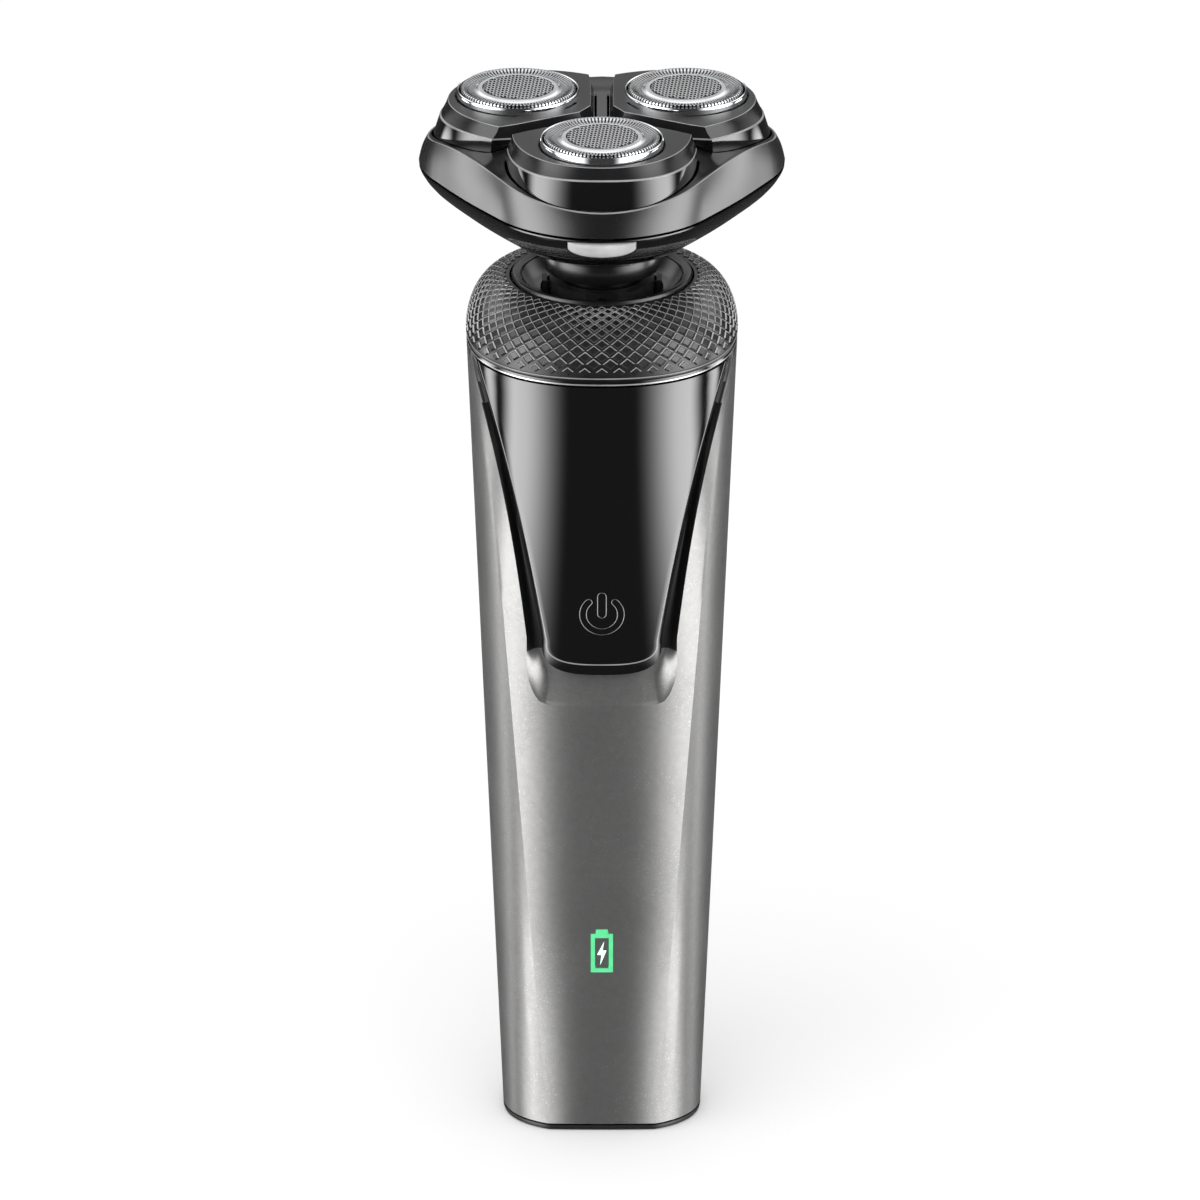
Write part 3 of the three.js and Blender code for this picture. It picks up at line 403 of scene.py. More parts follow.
class Shader:
    """Short hand for building a material's nodes."""

    def __init__(self, tree):
        self.tree = tree

    def add(self, kind, **values):
        node = self.tree.nodes.new(kind)
        for key, value in values.items():
            setattr(node, key, value)
        return node

    def put(self, target, value):
        if isinstance(value, bpy.types.NodeSocket):
            self.tree.links.new(value, target)
        else:
            target.default_value = value

    def math(self, operation, a, b=0.0, clamp=False):
        node = self.add("ShaderNodeMath", operation=operation, use_clamp=clamp)
        self.put(node.inputs[0], a)
        self.put(node.inputs[1], b)
        return node.outputs[0]

    def span(self, value, low, high, to_low=0.0, to_high=1.0):
        node = self.add("ShaderNodeMapRange", interpolation_type="SMOOTHSTEP")
        self.put(node.inputs["Value"], value)
        for key, number in zip(("From Min", "From Max", "To Min", "To Max"), (low, high, to_low, to_high)):
            self.put(node.inputs[key], number)
        return node.outputs["Result"]

    def noise(self, vector, scale, detail=2.0, roughness=0.5):
        node = self.add("ShaderNodeTexNoise")
        self.put(node.inputs["Vector"], vector)
        for key, number in (("Scale", scale), ("Detail", detail), ("Roughness", roughness)):
            node.inputs[key].default_value = number
        return node.outputs["Fac"]

    def mix(self, factor, a, b):
        node = self.add("ShaderNodeMix", data_type="RGBA")
        self.put(node.inputs["Factor"], factor)
        self.put(node.inputs[6], a)
        self.put(node.inputs[7], b)
        return node.outputs[2]

    def stretched(self, vector, scale):
        node = self.add("ShaderNodeMapping")
        self.put(node.inputs["Vector"], vector)
        node.inputs["Scale"].default_value = scale
        return node.outputs["Vector"]

    def bump(self, height, strength, distance):
        node = self.add("ShaderNodeBump")
        self.put(node.inputs["Height"], height)
        node.inputs["Strength"].default_value = strength
        node.inputs["Distance"].default_value = distance * MM
        return node.outputs["Normal"]


def effect(name, inputs, outputs, build):
    """A shared shader group of plain values, built once."""
    tree = bpy.data.node_groups.get(name)
    if tree:
        return tree
    tree = bpy.data.node_groups.new(name, "ShaderNodeTree")
    for label, kind, value in inputs:
        socket = tree.interface.new_socket(label, in_out="INPUT", socket_type=kind)
        if value is not None:
            socket.default_value = value
    for label, kind in outputs:
        tree.interface.new_socket(label, in_out="OUTPUT", socket_type=kind)
    start, end = tree.nodes.new("NodeGroupInput"), tree.nodes.new("NodeGroupOutput")
    build(Shader(tree), start.outputs, end.inputs)
    return tree


FLOAT, VECTOR = "NodeSocketFloat", "NodeSocketVector"


def grain_group():
    """Fine speckle: a mask of bright specks and the height of the grain."""

    def build(s, given, out):
        fine = s.noise(s.stretched(given["Vector"], (1, 1, 1)), 5200, 1.0, 0.6)
        coarse = s.noise(given["Vector"], 2300, 2.0, 0.6)
        specks = s.span(fine, 0.6, 0.74)
        s.put(out["Specks"], s.math("MULTIPLY", specks, given["Amount"]))
        s.put(out["Height"], s.math("ADD", fine, coarse))

    return effect(
        "Shaver grain",
        [("Vector", VECTOR, None), ("Amount", FLOAT, 1.0)],
        [("Specks", FLOAT), ("Height", FLOAT)],
        build,
    )


def wear_group():
    """Handling: faint smudges on the roughness."""

    def build(s, given, out):
        cloud = s.noise(given["Vector"], 70, 3.0, 0.55)
        smudge = s.span(cloud, 0.42, 0.72)
        s.put(out["Smudge"], s.math("MULTIPLY", smudge, given["Amount"]))

    return effect(
        "Shaver wear",
        [("Vector", VECTOR, None), ("Amount", FLOAT, 1.0)],
        [("Smudge", FLOAT)],
        build,
    )


def turned_group():
    """Fine rings about a centre, as a lathe leaves them."""

    def build(s, given, out):
        shift = s.add("ShaderNodeVectorMath", operation="SUBTRACT")
        s.put(shift.inputs[0], given["Vector"])
        s.put(shift.inputs[1], given["Centre"])
        flat = s.stretched(shift.outputs[0], (1, 1, 0))
        reach = s.add("ShaderNodeVectorMath", operation="LENGTH")
        s.put(reach.inputs[0], flat)
        wide = s.math("MULTIPLY", reach.outputs["Value"], given["Lines"])
        ring = s.add("ShaderNodeTexNoise", noise_dimensions="1D")
        s.put(ring.inputs["W"], wide)
        ring.inputs["Scale"].default_value = 1.0
        ring.inputs["Detail"].default_value = 3.0
        s.put(out["Height"], ring.outputs["Fac"])

    return effect(
        "Shaver turned",
        [("Vector", VECTOR, None), ("Centre", VECTOR, (0, 0, 0)), ("Lines", FLOAT, 9000.0)],
        [("Height", FLOAT)],
        build,
    )


def material(name, colour, roughness, metallic=0.0, **more):
    """A material with its own principled shader, and object coordinates to build on."""
    made = bpy.data.materials.new(name)
    made.use_nodes = True
    s = Shader(made.node_tree)
    shader = made.node_tree.nodes["Principled BSDF"]
    shader.inputs["Base Color"].default_value = (*colour, 1)
    shader.inputs["Roughness"].default_value = roughness
    shader.inputs["Metallic"].default_value = metallic
    for key, value in more.items():
        shader.inputs[key.replace("_", " ")].default_value = value
    at = s.add("ShaderNodeTexCoord").outputs["Object"]
    return made, s, shader.inputs, at


def group(s, tree, **values):
    node = s.add("ShaderNodeGroup", node_tree=tree)
    for key, value in values.items():
        s.put(node.inputs[key], value)
    return node.outputs


FRONT_CROWN = 300.0  # how far a bump rounds the light on the casing's front


def paint_metal(name="Casing paint", crown=0.0):
    """Gunmetal paint with a fine speckle. crown rounds the light over a flat face."""
    base = tuple(colours().casing)
    made, s, put, at = material(name, base, 0.38, 0.7, Coat_Weight=0.1)
    put["Coat Roughness"].default_value = 0.16
    grain = group(s, grain_group(), Vector=at, Amount=1.0)
    wear = group(s, wear_group(), Vector=at, Amount=1.0)
    cloud = s.noise(at, 900, 2.0)
    shade = s.mix(s.span(cloud, 0.3, 0.7), (*(c * 0.96 for c in base), 1), (*(c * 1.04 for c in base), 1))
    bright = (*(min(1.0, c * 2.3) for c in base), 1)
    s.put(put["Base Color"], s.mix(s.math("MULTIPLY", grain["Specks"], 0.5), shade, bright))
    rough = s.math("ADD", s.math("MULTIPLY", wear["Smudge"], 0.035), 0.34)
    s.put(put["Roughness"], s.math("ADD", rough, s.math("MULTIPLY", grain["Specks"], -0.08)))
    s.put(put["Normal"], s.bump(grain["Height"], 0.12, 0.02))
    if crown:
        split = s.add("ShaderNodeSeparateXYZ")
        s.put(split.inputs[0], at)
        wide = s.math("POWER", s.math("ABSOLUTE", split.outputs["X"]), 2.6)
        low = s.span(split.outputs["Z"], 0.0, 0.105, 1.0, 0.0)
        round_off = s.add("ShaderNodeBump")
        s.put(round_off.inputs["Height"], s.math("MULTIPLY", s.math("MULTIPLY", wide, low), -crown))
        round_off.inputs["Strength"].default_value = 1.0
        round_off.inputs["Distance"].default_value = 1.0
        fine = s.add("ShaderNodeBump")
        s.put(fine.inputs["Height"], grain["Height"])
        s.put(fine.inputs["Normal"], round_off.outputs["Normal"])
        fine.inputs["Strength"].default_value = 0.12
        fine.inputs["Distance"].default_value = 0.02 * MM
        s.put(put["Normal"], fine.outputs["Normal"])
    return made


def gloss_black(name="Gloss black", roughness=0.09, level=0.6, coat=0.6):
    made, s, put, at = material(name, tuple(colours().gloss), roughness)
    put["Specular IOR Level"].default_value = level
    put["Coat Weight"].default_value = coat
    put["Coat Roughness"].default_value = 0.02
    wear = group(s, wear_group(), Vector=at, Amount=1.0)
    s.put(put["Roughness"], s.math("ADD", s.math("MULTIPLY", wear["Smudge"], 0.03), roughness))
    return made


def plain(name, colour, roughness, metallic=0.0, grain=0.15, **more):
    """A moulded or plated finish: a little cloudiness, and a grain on the surface."""
    made, s, put, at = material(name, colour, roughness, metallic, **more)
    marks = group(s, grain_group(), Vector=at, Amount=1.0)
    cloud = s.noise(at, 260, 3.0)
    low, high = ((*(c * k for c in colour), 1) for k in (0.88, 1.1))
    s.put(put["Base Color"], s.mix(s.span(cloud, 0.3, 0.7), low, high))
    s.put(put["Roughness"], s.math("ADD", s.math("MULTIPLY", cloud, 0.08), roughness - 0.04))
    s.put(put["Normal"], s.bump(marks["Height"], grain, 0.02))
    return made


def crease_painted_highlight():
    """Painted highlight: a grey line where a gloss edge would catch the light."""
    return detail("Crease painted highlight", lambda: plain("Crease painted highlight", (0.3, 0.3, 0.3), 0.25, grain=0.03))


def turned_metal(name, colour, roughness, centre=(0, 0, 0), lines=9000.0, strength=0.2):
    made, s, put, at = material(name, colour, roughness, 1.0)
    rings = group(s, turned_group(), Vector=at, Centre=centre, Lines=lines)
    s.put(put["Roughness"], s.math("ADD", s.math("MULTIPLY", rings["Height"], 0.1), roughness - 0.05))
    s.put(put["Normal"], s.bump(rings["Height"], strength, 0.01))
    return made


def lit(name, colour, strength, shine=0.3):
    """A translucent window with light behind it, its strength varying a little at random."""
    made, s, put, at = material(name, tuple(c * 0.6 for c in colour), shine)
    put["Emission Color"].default_value = (*colour, 1)
    cloud = s.noise(at, 700, 1.0)
    s.put(put["Emission Strength"], s.math("MULTIPLY", s.span(cloud, 0.1, 0.9, 0.85, 1.1), strength))
    return made


def cutter_face():
    """Matte face of a cutter frame with a fine dull grain."""
    base = tuple(colours().face)
    made, s, put, at = material("Cutter face", base, 0.5)
    grain = group(s, grain_group(), Vector=at, Amount=1.0)
    bright = (*(c * 1.7 for c in base), 1)
    s.put(put["Base Color"], s.mix(s.math("MULTIPLY", grain["Specks"], 0.35), (*base, 1), bright))
    s.put(put["Roughness"], s.math("ADD", s.math("MULTIPLY", s.noise(at, 120, 2.0), 0.08), 0.46))
    s.put(put["Normal"], s.bump(grain["Height"], 0.1, 0.02))
    return made


def cell_sleeve():
    """Shrink sleeve: dark band at the top end, bare steel above it."""
    made, s, put, at = material("Cell sleeve", (0.03, 0.16, 0.45), 0.3)
    high = span("battery_cell")[1]
    split = s.add("ShaderNodeSeparateXYZ")
    s.put(split.inputs[0], at)
    height = split.outputs["Z"]
    band = s.math("MULTIPLY", s.math("GREATER_THAN", height, (high.z - 10) * MM), 1.0)
    bare = s.math("GREATER_THAN", height, (high.z - 1.4) * MM)
    shade = s.mix(band, (0.03, 0.16, 0.45, 1), (0.012, 0.014, 0.02, 1))
    s.put(put["Base Color"], s.mix(bare, shade, (0.6, 0.61, 0.63, 1)))
    s.put(put["Metallic"], bare)
    s.put(put["Normal"], s.bump(s.noise(at, 500, 2.0), 0.1, 0.05))
    return made


def board():
    """Solder mask with tracks and a few tinned pads."""
    made, s, put, at = material("Circuit board", (0.01, 0.12, 0.04), 0.3)
    cells = s.add("ShaderNodeTexVoronoi", feature="DISTANCE_TO_EDGE", distance="CHEBYCHEV")
    s.put(cells.inputs["Vector"], at)
    cells.inputs["Scale"].default_value = 420
    track = s.span(cells.outputs["Distance"], 0.03, 0.06, 1.0, 0.0)
    spots = s.add("ShaderNodeTexVoronoi")
    s.put(spots.inputs["Vector"], at)
    spots.inputs["Scale"].default_value = 300
    pad = s.span(spots.outputs["Distance"], 0.12, 0.15, 1.0, 0.0)
    shade = s.mix(track, (0.008, 0.10, 0.035, 1), (0.02, 0.2, 0.07, 1))
    s.put(put["Base Color"], s.mix(pad, shade, (0.6, 0.6, 0.58, 1)))
    s.put(put["Metallic"], pad)
    s.put(put["Normal"], s.bump(track, 0.3, 0.05))
    return made


SLOT_MATERIALS = {}


def slot_materials():
    """One material for each slot of the frame, made once."""
    if SLOT_MATERIALS:
        return SLOT_MATERIALS
    SLOT_MATERIALS.update({
        "casing": paint_metal(),
        "base_black": plain("Base black", (0.012, 0.012, 0.013), 0.38),
        "gloss_black": gloss_black(),
        "key": gloss_black("Key black", 0.12),
        "grip": plain("Grip black", (0.008, 0.008, 0.009), 0.34),
        "neck_black": plain("Neck black", (0.01, 0.01, 0.011), 0.24, grain=0.04),
        "icon_green": lit("Lit green", tuple(colours().icon), 0.8),
        "icon_white": lit("Lit bolt", (0.62, 1.0, 0.78), 1.3),
        "inner_grey": plain("Moulding grey", (0.012, 0.012, 0.013), 0.5),
        "acetal": plain("Acetal", (0.76, 0.75, 0.7), 0.35, Subsurface_Weight=0.1),
        "cell_sleeve": cell_sleeve(),
        "plated_steel": turned_metal("Plated steel", (0.6, 0.61, 0.63), 0.25, strength=0.1),
        "board_green": board(),
        "dark_plastic": plain("Dark moulding", (0.03, 0.031, 0.034), 0.45),
        "clear_guide": plain("Clear guide", (0.8, 0.9, 0.85), 0.12, Transmission_Weight=0.7),
        "screw_steel": turned_metal("Screw steel", (0.32, 0.33, 0.35), 0.3, strength=0.15),
        "frame_grey": cutter_face(),
        "chrome_trim": turned_metal("Chrome", (0.82, 0.83, 0.84), 0.07, strength=0.03),
        "satin_chrome": plain("Satin chrome", (0.72, 0.72, 0.72), 0.32, 0.25, 0.06),
        "foil_steel": plain("Foil steel", (0.7, 0.71, 0.72), 0.2, 1.0, 0.05),
        # Blades drawn dark as painted shade, so the foil's slots read black; real blades are bright steel.
        "cutter_steel": plain("Blade steel painted shade", (0.1, 0.1, 0.105), 0.45, 1.0, 0.1),
    })
    return SLOT_MATERIALS


def detail(name, make):
    """A material of a detail, made on first use."""
    made = bpy.data.materials.get(name)
    return made or make()


# ------------------------------------------------------------ handle section


def half_width(z):
    return BASE_HALF_WIDTH + (RIM_HALF_WIDTH - BASE_HALF_WIDTH) * z / RIM_Z


def half_depth(z):
    return BASE_HALF_DEPTH + (RIM_HALF_DEPTH - BASE_HALF_DEPTH) * z / RIM_Z


def side_depth(z):
    s = z / RIM_Z
    return half_depth(z) + 1.2 * (1 - s) + 12 * s * (1 - s)


def facet(z):
    """Half width of the crowned front face."""
    flare = max(0.0, (z - 95) / (RIM_Z - 95))
    return min(FACET_AT_BASE + 0.078 * z + 2.4 * flare * flare, half_width(z) - 0.25)


def along(x, a, b):
    return b * max(0.0, 1 - (abs(x) / a) ** ROUND) ** (1 / ROUND)


def front_depth(x, z):
    edge = min(along(facet(z), half_width(z), side_depth(z)), half_depth(z) - 0.15)
    reach = facet(z) / (1 - (edge / half_depth(z)) ** ROUND) ** (1 / ROUND)
    return along(x, reach, half_depth(z))


def on_front(x, z, sunk=0.0):
    return x, sunk - front_depth(x, z), z


def back_and_side(z, side):
    """Back from +X to -X, then one side down to the edge of the front face."""
    w = half_width(z)
    edge_angle = math.asin(min(1.0, front_depth(facet(z), z) / side_depth(z)))
    back = []
    for i in range(64):
        a = math.pi * i / 64
        x = w * power(math.cos(a), 2 / ROUND)
        back.append((x, (half_depth(z) + 1) * math.sin(a) ** (2 / ROUND), z))
    flank = []
    for i in range(side):
        a = edge_angle * i / side
        x = w * (1 - math.sin(a) ** ROUND) ** (1 / ROUND)
        flank.append((-x, -side_depth(z) * math.sin(a), z))
    return back, flank


def plain_ring(z, front=24):
    back, flank = back_and_side(z, 14)
    face = [on_front(facet(z) * (2 * i / front - 1), z) for i in range(front + 1)]
    other = [(-x, y, h) for x, y, h in reversed(flank[1:])]
    return [*back, *flank, *face, *other]


def shrunk(ring, inset, front_inset=None):
    """The section moved in, by one distance at the sides and another at the front."""
    z = ring[0][2]
    w, d = half_width(z), half_depth(z)
    moved = []
    for x, y, h in ring:
        deep = front_inset if front_inset is not None and y < 0 and abs(x) <= facet(z) else inset
        moved.append((x * (1 - deep / w), y * (1 - deep / d), h))
    return moved


LIP_Z = 76.7


def panel_half(z):
    t = max(0.0, (z - PANEL_FOOT) / (RIM_Z - PANEL_FOOT))
    return PANEL_END + 8.2 * t + 2.6 * t**3


def groove_half(z):
    """Half width of the recess round the panel, at the surface."""
    if z >= PANEL_FOOT:
        t = (z - PANEL_FOOT) / (RIM_Z - PANEL_FOOT)
        return panel_half(z) + 0.95 + 1.45 * (1 - t) ** 2
    if z >= 84:
        return 12.0
    return 8.8 + 3.2 * math.sqrt(max(0.0, 1 - ((84 - z) / (84 - LIP_Z)) ** 2))


def floor_half(z):
    """Half width of the flat floor of the recess."""
    if z >= PANEL_FOOT:
        return groove_half(z) - 1.45
    if z >= 80:
        return 8.2 + 2.35 * smooth((z - 80) / (PANEL_FOOT - 80))
    return 8.8 - 0.6 * smooth((z - LIP_Z) / (80 - LIP_Z))


def recess_depth(z):
    t = min(1.0, max(0.0, (z - LIP_Z) / 5.0))
    late = max(0.0, (z - PANEL_FOOT) / (RIM_Z - PANEL_FOOT))
    return sizes().groove * (t - 0.12 * t * t) / 0.88 * (1 - 0.1 * late)


def casing_ring(z):
    back, flank = back_and_side(z, 14)
    g, f = groove_half(max(z, LIP_Z)), floor_half(max(z, LIP_Z))
    depth = recess_depth(z)
    edge = facet(z)
    left = [on_front(-edge + (edge - g) * i / 8, z) for i in range(8)]
    for i in range(7):
        t = i / 7
        left.append(on_front(-g + (g - f) * t, z, depth * math.sin(t * math.pi / 2) ** 1.2))
    middle = [on_front(f * (i / 6 - 1), z, depth) for i in range(13)]
    right = [(-x, y, h) for x, y, h in reversed(left)]
    other = [(-x, y, h) for x, y, h in reversed(flank[1:])]
    return [*back, *flank, *left, *middle, *right, *other]


def levels(low, high, step, *fine):
    """Heights from low to high, with finer steps inside the given stretches."""
    found = [low]
    while found[-1] < high - 1e-6:
        z = found[-1]
        pitch = next((p for a, b, p in fine if a <= z + 1e-6 < b), step)
        found.append(min(high, z + pitch))
    if found[-1] - found[-2] < 0.02:
        found.pop(-2)
    return found


def prism_y(outline, y0, y1):
    """A closed outline of (x, z) carried from y0 to y1."""
    skin = Skin()
    a = skin.ring([(x, y0, z) for x, z in outline])
    b = skin.ring([(x, y1, z) for x, z in outline])
    skin.bridge(a, b)
    skin.face(a)
    skin.face(list(reversed(b)))
    return skin


def disc(radius, centre, count=48):
    return [(centre[0] + x, centre[1] + z) for x, z in (polar(radius, TAU * i / count) for i in range(count))]


def tube(path, radius, sides=8, closed=True):
    """A round bead along a path of points."""
    skin = Skin()
    points = [Vector(p) for p in path]
    count = len(points)
    rows = []
    for i, point in enumerate(points):
        before = points[i - 1] if closed or i else point
        after = points[(i + 1) % count] if closed or i < count - 1 else point
        frame_at = axes_of(after - before, (0, -1, 0))
        row = []
        for k in range(sides):
            u, v = polar(radius, TAU * k / sides)
            row.append(point + frame_at.col[1] * u + frame_at.col[2] * v)
        rows.append(skin.ring(row))
    for a, b in zip(rows, rows[1:]):
        skin.bridge(a, b)
    if closed:
        skin.bridge(rows[-1], rows[0])
    else:
        skin.face(rows[0])
        skin.face(list(reversed(rows[-1])))
    return skin


# -------------------------------------------------------------- power symbol

KEY = span("power_key")
KEY_Z = 93.0
KEY_RADIUS = 3.58
KEY_STROKE = 1.12
KEY_OPENING = math.radians(33)
KEY_BAR = (1.43, 4.5)


def key_ring(grow, steps=64):
    middle = KEY_RADIUS - KEY_STROKE / 2
    half = KEY_STROKE / 2 + grow
    end = KEY_OPENING + math.asin(KEY_STROKE / 2 / middle)
    first, last = math.pi / 2 + end, math.pi / 2 - end + TAU
    outline = []

    def arc(centre, radius, a, b, count):
        for i in range(count):
            x, z = polar(radius, a + (b - a) * i / count)
            outline.append((centre[0] + x, KEY_Z + centre[1] + z))

    arc((0, 0), middle + half, first, last, steps)
    arc(polar(middle, last), half, last, last + math.pi, 10)
    arc((0, 0), middle - half, last, first, steps)
    arc(polar(middle, first), half, first + math.pi, first + TAU, 10)
    return outline


def key_bar(grow):
    half = KEY_BAR[0] / 2 + grow
    low = KEY_Z - 0.6 + KEY_BAR[0] / 2
    high = low + KEY_BAR[1] - KEY_BAR[0]
    outline = []
    for i in range(13):
        x, z = polar(half, math.pi * i / 12)
        outline.append((x, high + z))
    for i in range(13):
        x, z = polar(half, math.pi + math.pi * i / 12)
        outline.append((x, low + z))
    return outline


def battery_outline(grow):
    low, high = span("icon_frame")
    w = high.x + grow
    shoulder = high.z - 0.8 + grow
    cap = high.x * 0.53 + grow
    right = [(w, low.z - grow), (w, shoulder), (cap, shoulder), (cap, high.z + grow)]
    return [*right, *((-x, z) for x, z in reversed(right))]


def battery_inside(grow):
    low, high = span("icon_frame")
    stroke = 0.7
    w = high.x - stroke + grow
    a, b = low.z + stroke - grow, high.z - 0.8 - stroke + grow
    return [(w, a), (w, b), (-w, b), (-w, a)]


def bolt_outline(grow):
    low, high = span("icon_bolt")
    z = (low.z + high.z) / 2
    w, h = 0.72 + grow, 2.1 + grow
    return [
        (-w * 0.35, z - h), (w, z + 0.5), (w * 0.15, z + 0.5),
        (w * 0.5, z + h), (-w, z - 0.3), (-w * 0.1, z - 0.3),
    ]


def surface_tile(outlines, sunk, deep):
    """Outlines raised to just above the front face, with plain sides."""
    skin = Skin()
    for outline in outlines:
        top = skin.ring([on_front(x, z, sunk) for x, z in outline])
        low = skin.ring([on_front(x, z, deep) for x, z in outline])
        skin.bridge(top, low)
        skin.face(top)
        skin.face(list(reversed(low)))
    return skin


def frame_tile(outer, inner, sunk, deep):
    """A closed frame between two outlines, split so that each face is simple."""
    skin = Skin()
    loops = []
    for depth in (sunk, deep):
        loops.append(skin.ring([on_front(x, z, depth) for x, z in outer]))
        loops.append(skin.ring([on_front(x, z, depth) for x, z in inner]))
    top_out, top_in, low_out, low_in = loops
    skin.bridge(top_out, low_out)
    skin.bridge(low_in, top_in)
    for out, inn in ((top_out, top_in), (low_out, low_in)):
        skin.face((out[0], out[1], inn[1], inn[0]))
        skin.face((out[1], out[2], out[5], out[6], inn[2], inn[1]))
        skin.face((out[2], out[3], out[4], out[5]))
        skin.face((out[6], out[7], inn[3], inn[2]))
        skin.face((out[7], out[0], inn[0], inn[3]))
    return skin


# ------------------------------------------------------------- handle pieces


def make_casing():
    heights = levels(CASING[0].z, RIM_Z, 3.0, (75.7, 90.0, 0.5))
    skin = Skin()
    outer = [casing_ring(z) for z in heights]
    rows = [skin.ring(r) for r in outer]
    start, count = 64 + 14, len(outer[0])
    for a, b, z in zip(rows, rows[1:], heights):
        for i in range(count):
            j = (i + 1) % count
            sunk = z > 85.2 and start + 8 <= i < start + 8 + 26
            ahead = start <= i < start + 42 and (z < LIP_Z or not start + 8 <= i < start + 34)
            skin.face((a[i], a[j], b[j], b[i]), 1 if sunk else 2 if ahead else 0)
    coarse = [CASING[0].z, 24, 48, 70, 88, 103, 116, 126, RIM_Z]
    inside = [skin.ring(shrunk(casing_inner(z), 2.2, 3.4)) for z in coarse]
    for a, b in zip(inside, inside[1:]):
        skin.bridge(b, a)
    skin.bridge(rows[-1], inside[-1])
    skin.bridge(inside[0], rows[0])
    shade = detail("Recess black", lambda: plain("Recess black", (0.006, 0.006, 0.006), 0.3))
    crowned = paint_metal("Casing front", FRONT_CROWN)
    mesh = dressed(skin.mesh("casing", 17), slot_materials()["casing"], shade, crowned)
    front = -RIM_HALF_DEPTH - 6
    inner_face = -(half_depth(KEY_Z) - 3.4)
    hole = prism_y(disc(KEY_RADIUS + 1.5, (0, KEY_Z)), front, inner_face + 4).mesh("hole")
    recess = frame_tile(battery_outline(0.07), battery_inside(-0.07), -1, 1.3).mesh("icon")
    bolt = surface_tile([bolt_outline(0.07)], -1, 1.3).mesh("bolt")
    return piece("Casing", carved(mesh, hole, recess, bolt, sharp=17), "handle", "casing", "main_casing")


def casing_inner(z):
    """The plain section with as many points as the casing's own ring."""
    back, flank = back_and_side(z, 14)
    count = len(casing_ring(z)) - 64 - 14 - 13
    face = [on_front(facet(z) * (2 * i / (count - 1) - 1), z) for i in range(count)]
    other = [(-x, y, h) for x, y, h in reversed(flank[1:])]
    return [*back, *flank, *face, *other]


KEY_WALL = 1.7  # of the panel in front of the key's plate
KEY_POCKET = 1.5  # how far the pocket behind that wall stands past the symbol


def make_panel():
    corner = 3.2
    outline = []
    for i in range(25):
        a = math.pi / 2 * i / 24
        s, c = math.sin(a) ** (2 / corner), math.cos(a) ** (2 / corner)
        outline.append((PANEL_END * s, PANEL_FOOT - 6.0 * c, (PANEL_END - 0.7) * s, PANEL_FOOT - 3.8 * c))
    for z in levels(PANEL_FOOT, RIM_Z, 2.0)[1:]:
        outline.append((panel_half(z), z, panel_half(z) - 0.7, z))
    skin = Skin()
    columns = 32
    rows = []
    for wide, wide_z, flat, flat_z in outline:
        soft = 0.16
        crown = max(0.0, flat - soft)
        row = [on_front(crown * (2 * i / columns - 1), flat_z) for i in range(columns + 1)]
        edge = [
            on_front(flat, flat_z - 0.1 * (flat_z - wide_z), 0.05),
            on_front(wide, wide_z, 0.75),
            on_front(wide, wide_z, 1.6),
        ]
        other = [(-x, y, z) for x, y, z in reversed(edge)]
        rows.append(skin.ring([*row, *edge, *other]))
    for a, b in zip(rows, rows[1:]):
        for i in range(len(a)):
            j = (i + 1) % len(a)
            # The two crease columns take the painted highlight, a grey line along the panel's edge.
            crease = i in (columns, len(a) - 1)
            skin.face((a[i], a[j], b[j], b[i]), 1 if crease else 0)
    skin.face(rows[-1])
    bright = crease_painted_highlight()
    mesh = dressed(skin.mesh("panel", 35), slot_materials()["gloss_black"], bright)
    slots = [surface_tile([shape], -1, 2.4).mesh("slot") for shape in (key_ring(0.13), key_bar(0.13))]
    wall = -half_depth(KEY_Z) + KEY_WALL
    pocket = prism_y(disc(KEY_RADIUS + KEY_POCKET, (0, KEY_Z)), wall, 0).mesh("pocket")
    return piece("Front panel", carved(mesh, *slots, pocket), "handle", "gloss_black", "front_panel")


def make_key():
    black = slot_materials()["key"]
    bright = detail("Key edge", lambda: plain("Key edge", (0.2, 0.2, 0.2), 0.25, 0.6, 0.05))
    symbols = surface_tile([key_ring(0.02), key_bar(0.02)], 0.03, 2.3).mesh("symbol")
    beads = []
    for shape in (key_ring(-0.02), key_bar(-0.02)):
        beads.append(tube([on_front(x, z, 0.04) for x, z in shape], 0.07).mesh("bead", 60))
    plate_y = -half_depth(KEY_Z) + 2.05
    plate = prism_y(disc(KEY_RADIUS + 0.9, (0, KEY_Z)), plate_y, plate_y + 1.1).mesh("plate")
    stem = prism_y(disc(1.0, (0, KEY_Z), 24), plate_y + 1.0, KEY[1].y).mesh("stem")
    parts = [dressed(m, black) for m in (symbols, plate, stem)] + [dressed(m, bright) for m in beads]
    return piece("Power key", merged("key", parts), "power_key", "key", "power_key")


def make_icons():
    green, white = slot_materials()["icon_green"], slot_materials()["icon_white"]
    outline = frame_tile(battery_outline(0), battery_inside(0), -0.03, 1.1).mesh("battery")
    bolt = surface_tile([bolt_outline(0)], -0.03, 1.1).mesh("bolt")
    piece("Battery icon", dressed(outline, green), "handle", "icon_green", "icon_frame")
    piece("Battery bolt", dressed(bolt, white), "handle", "icon_white", "icon_bolt")


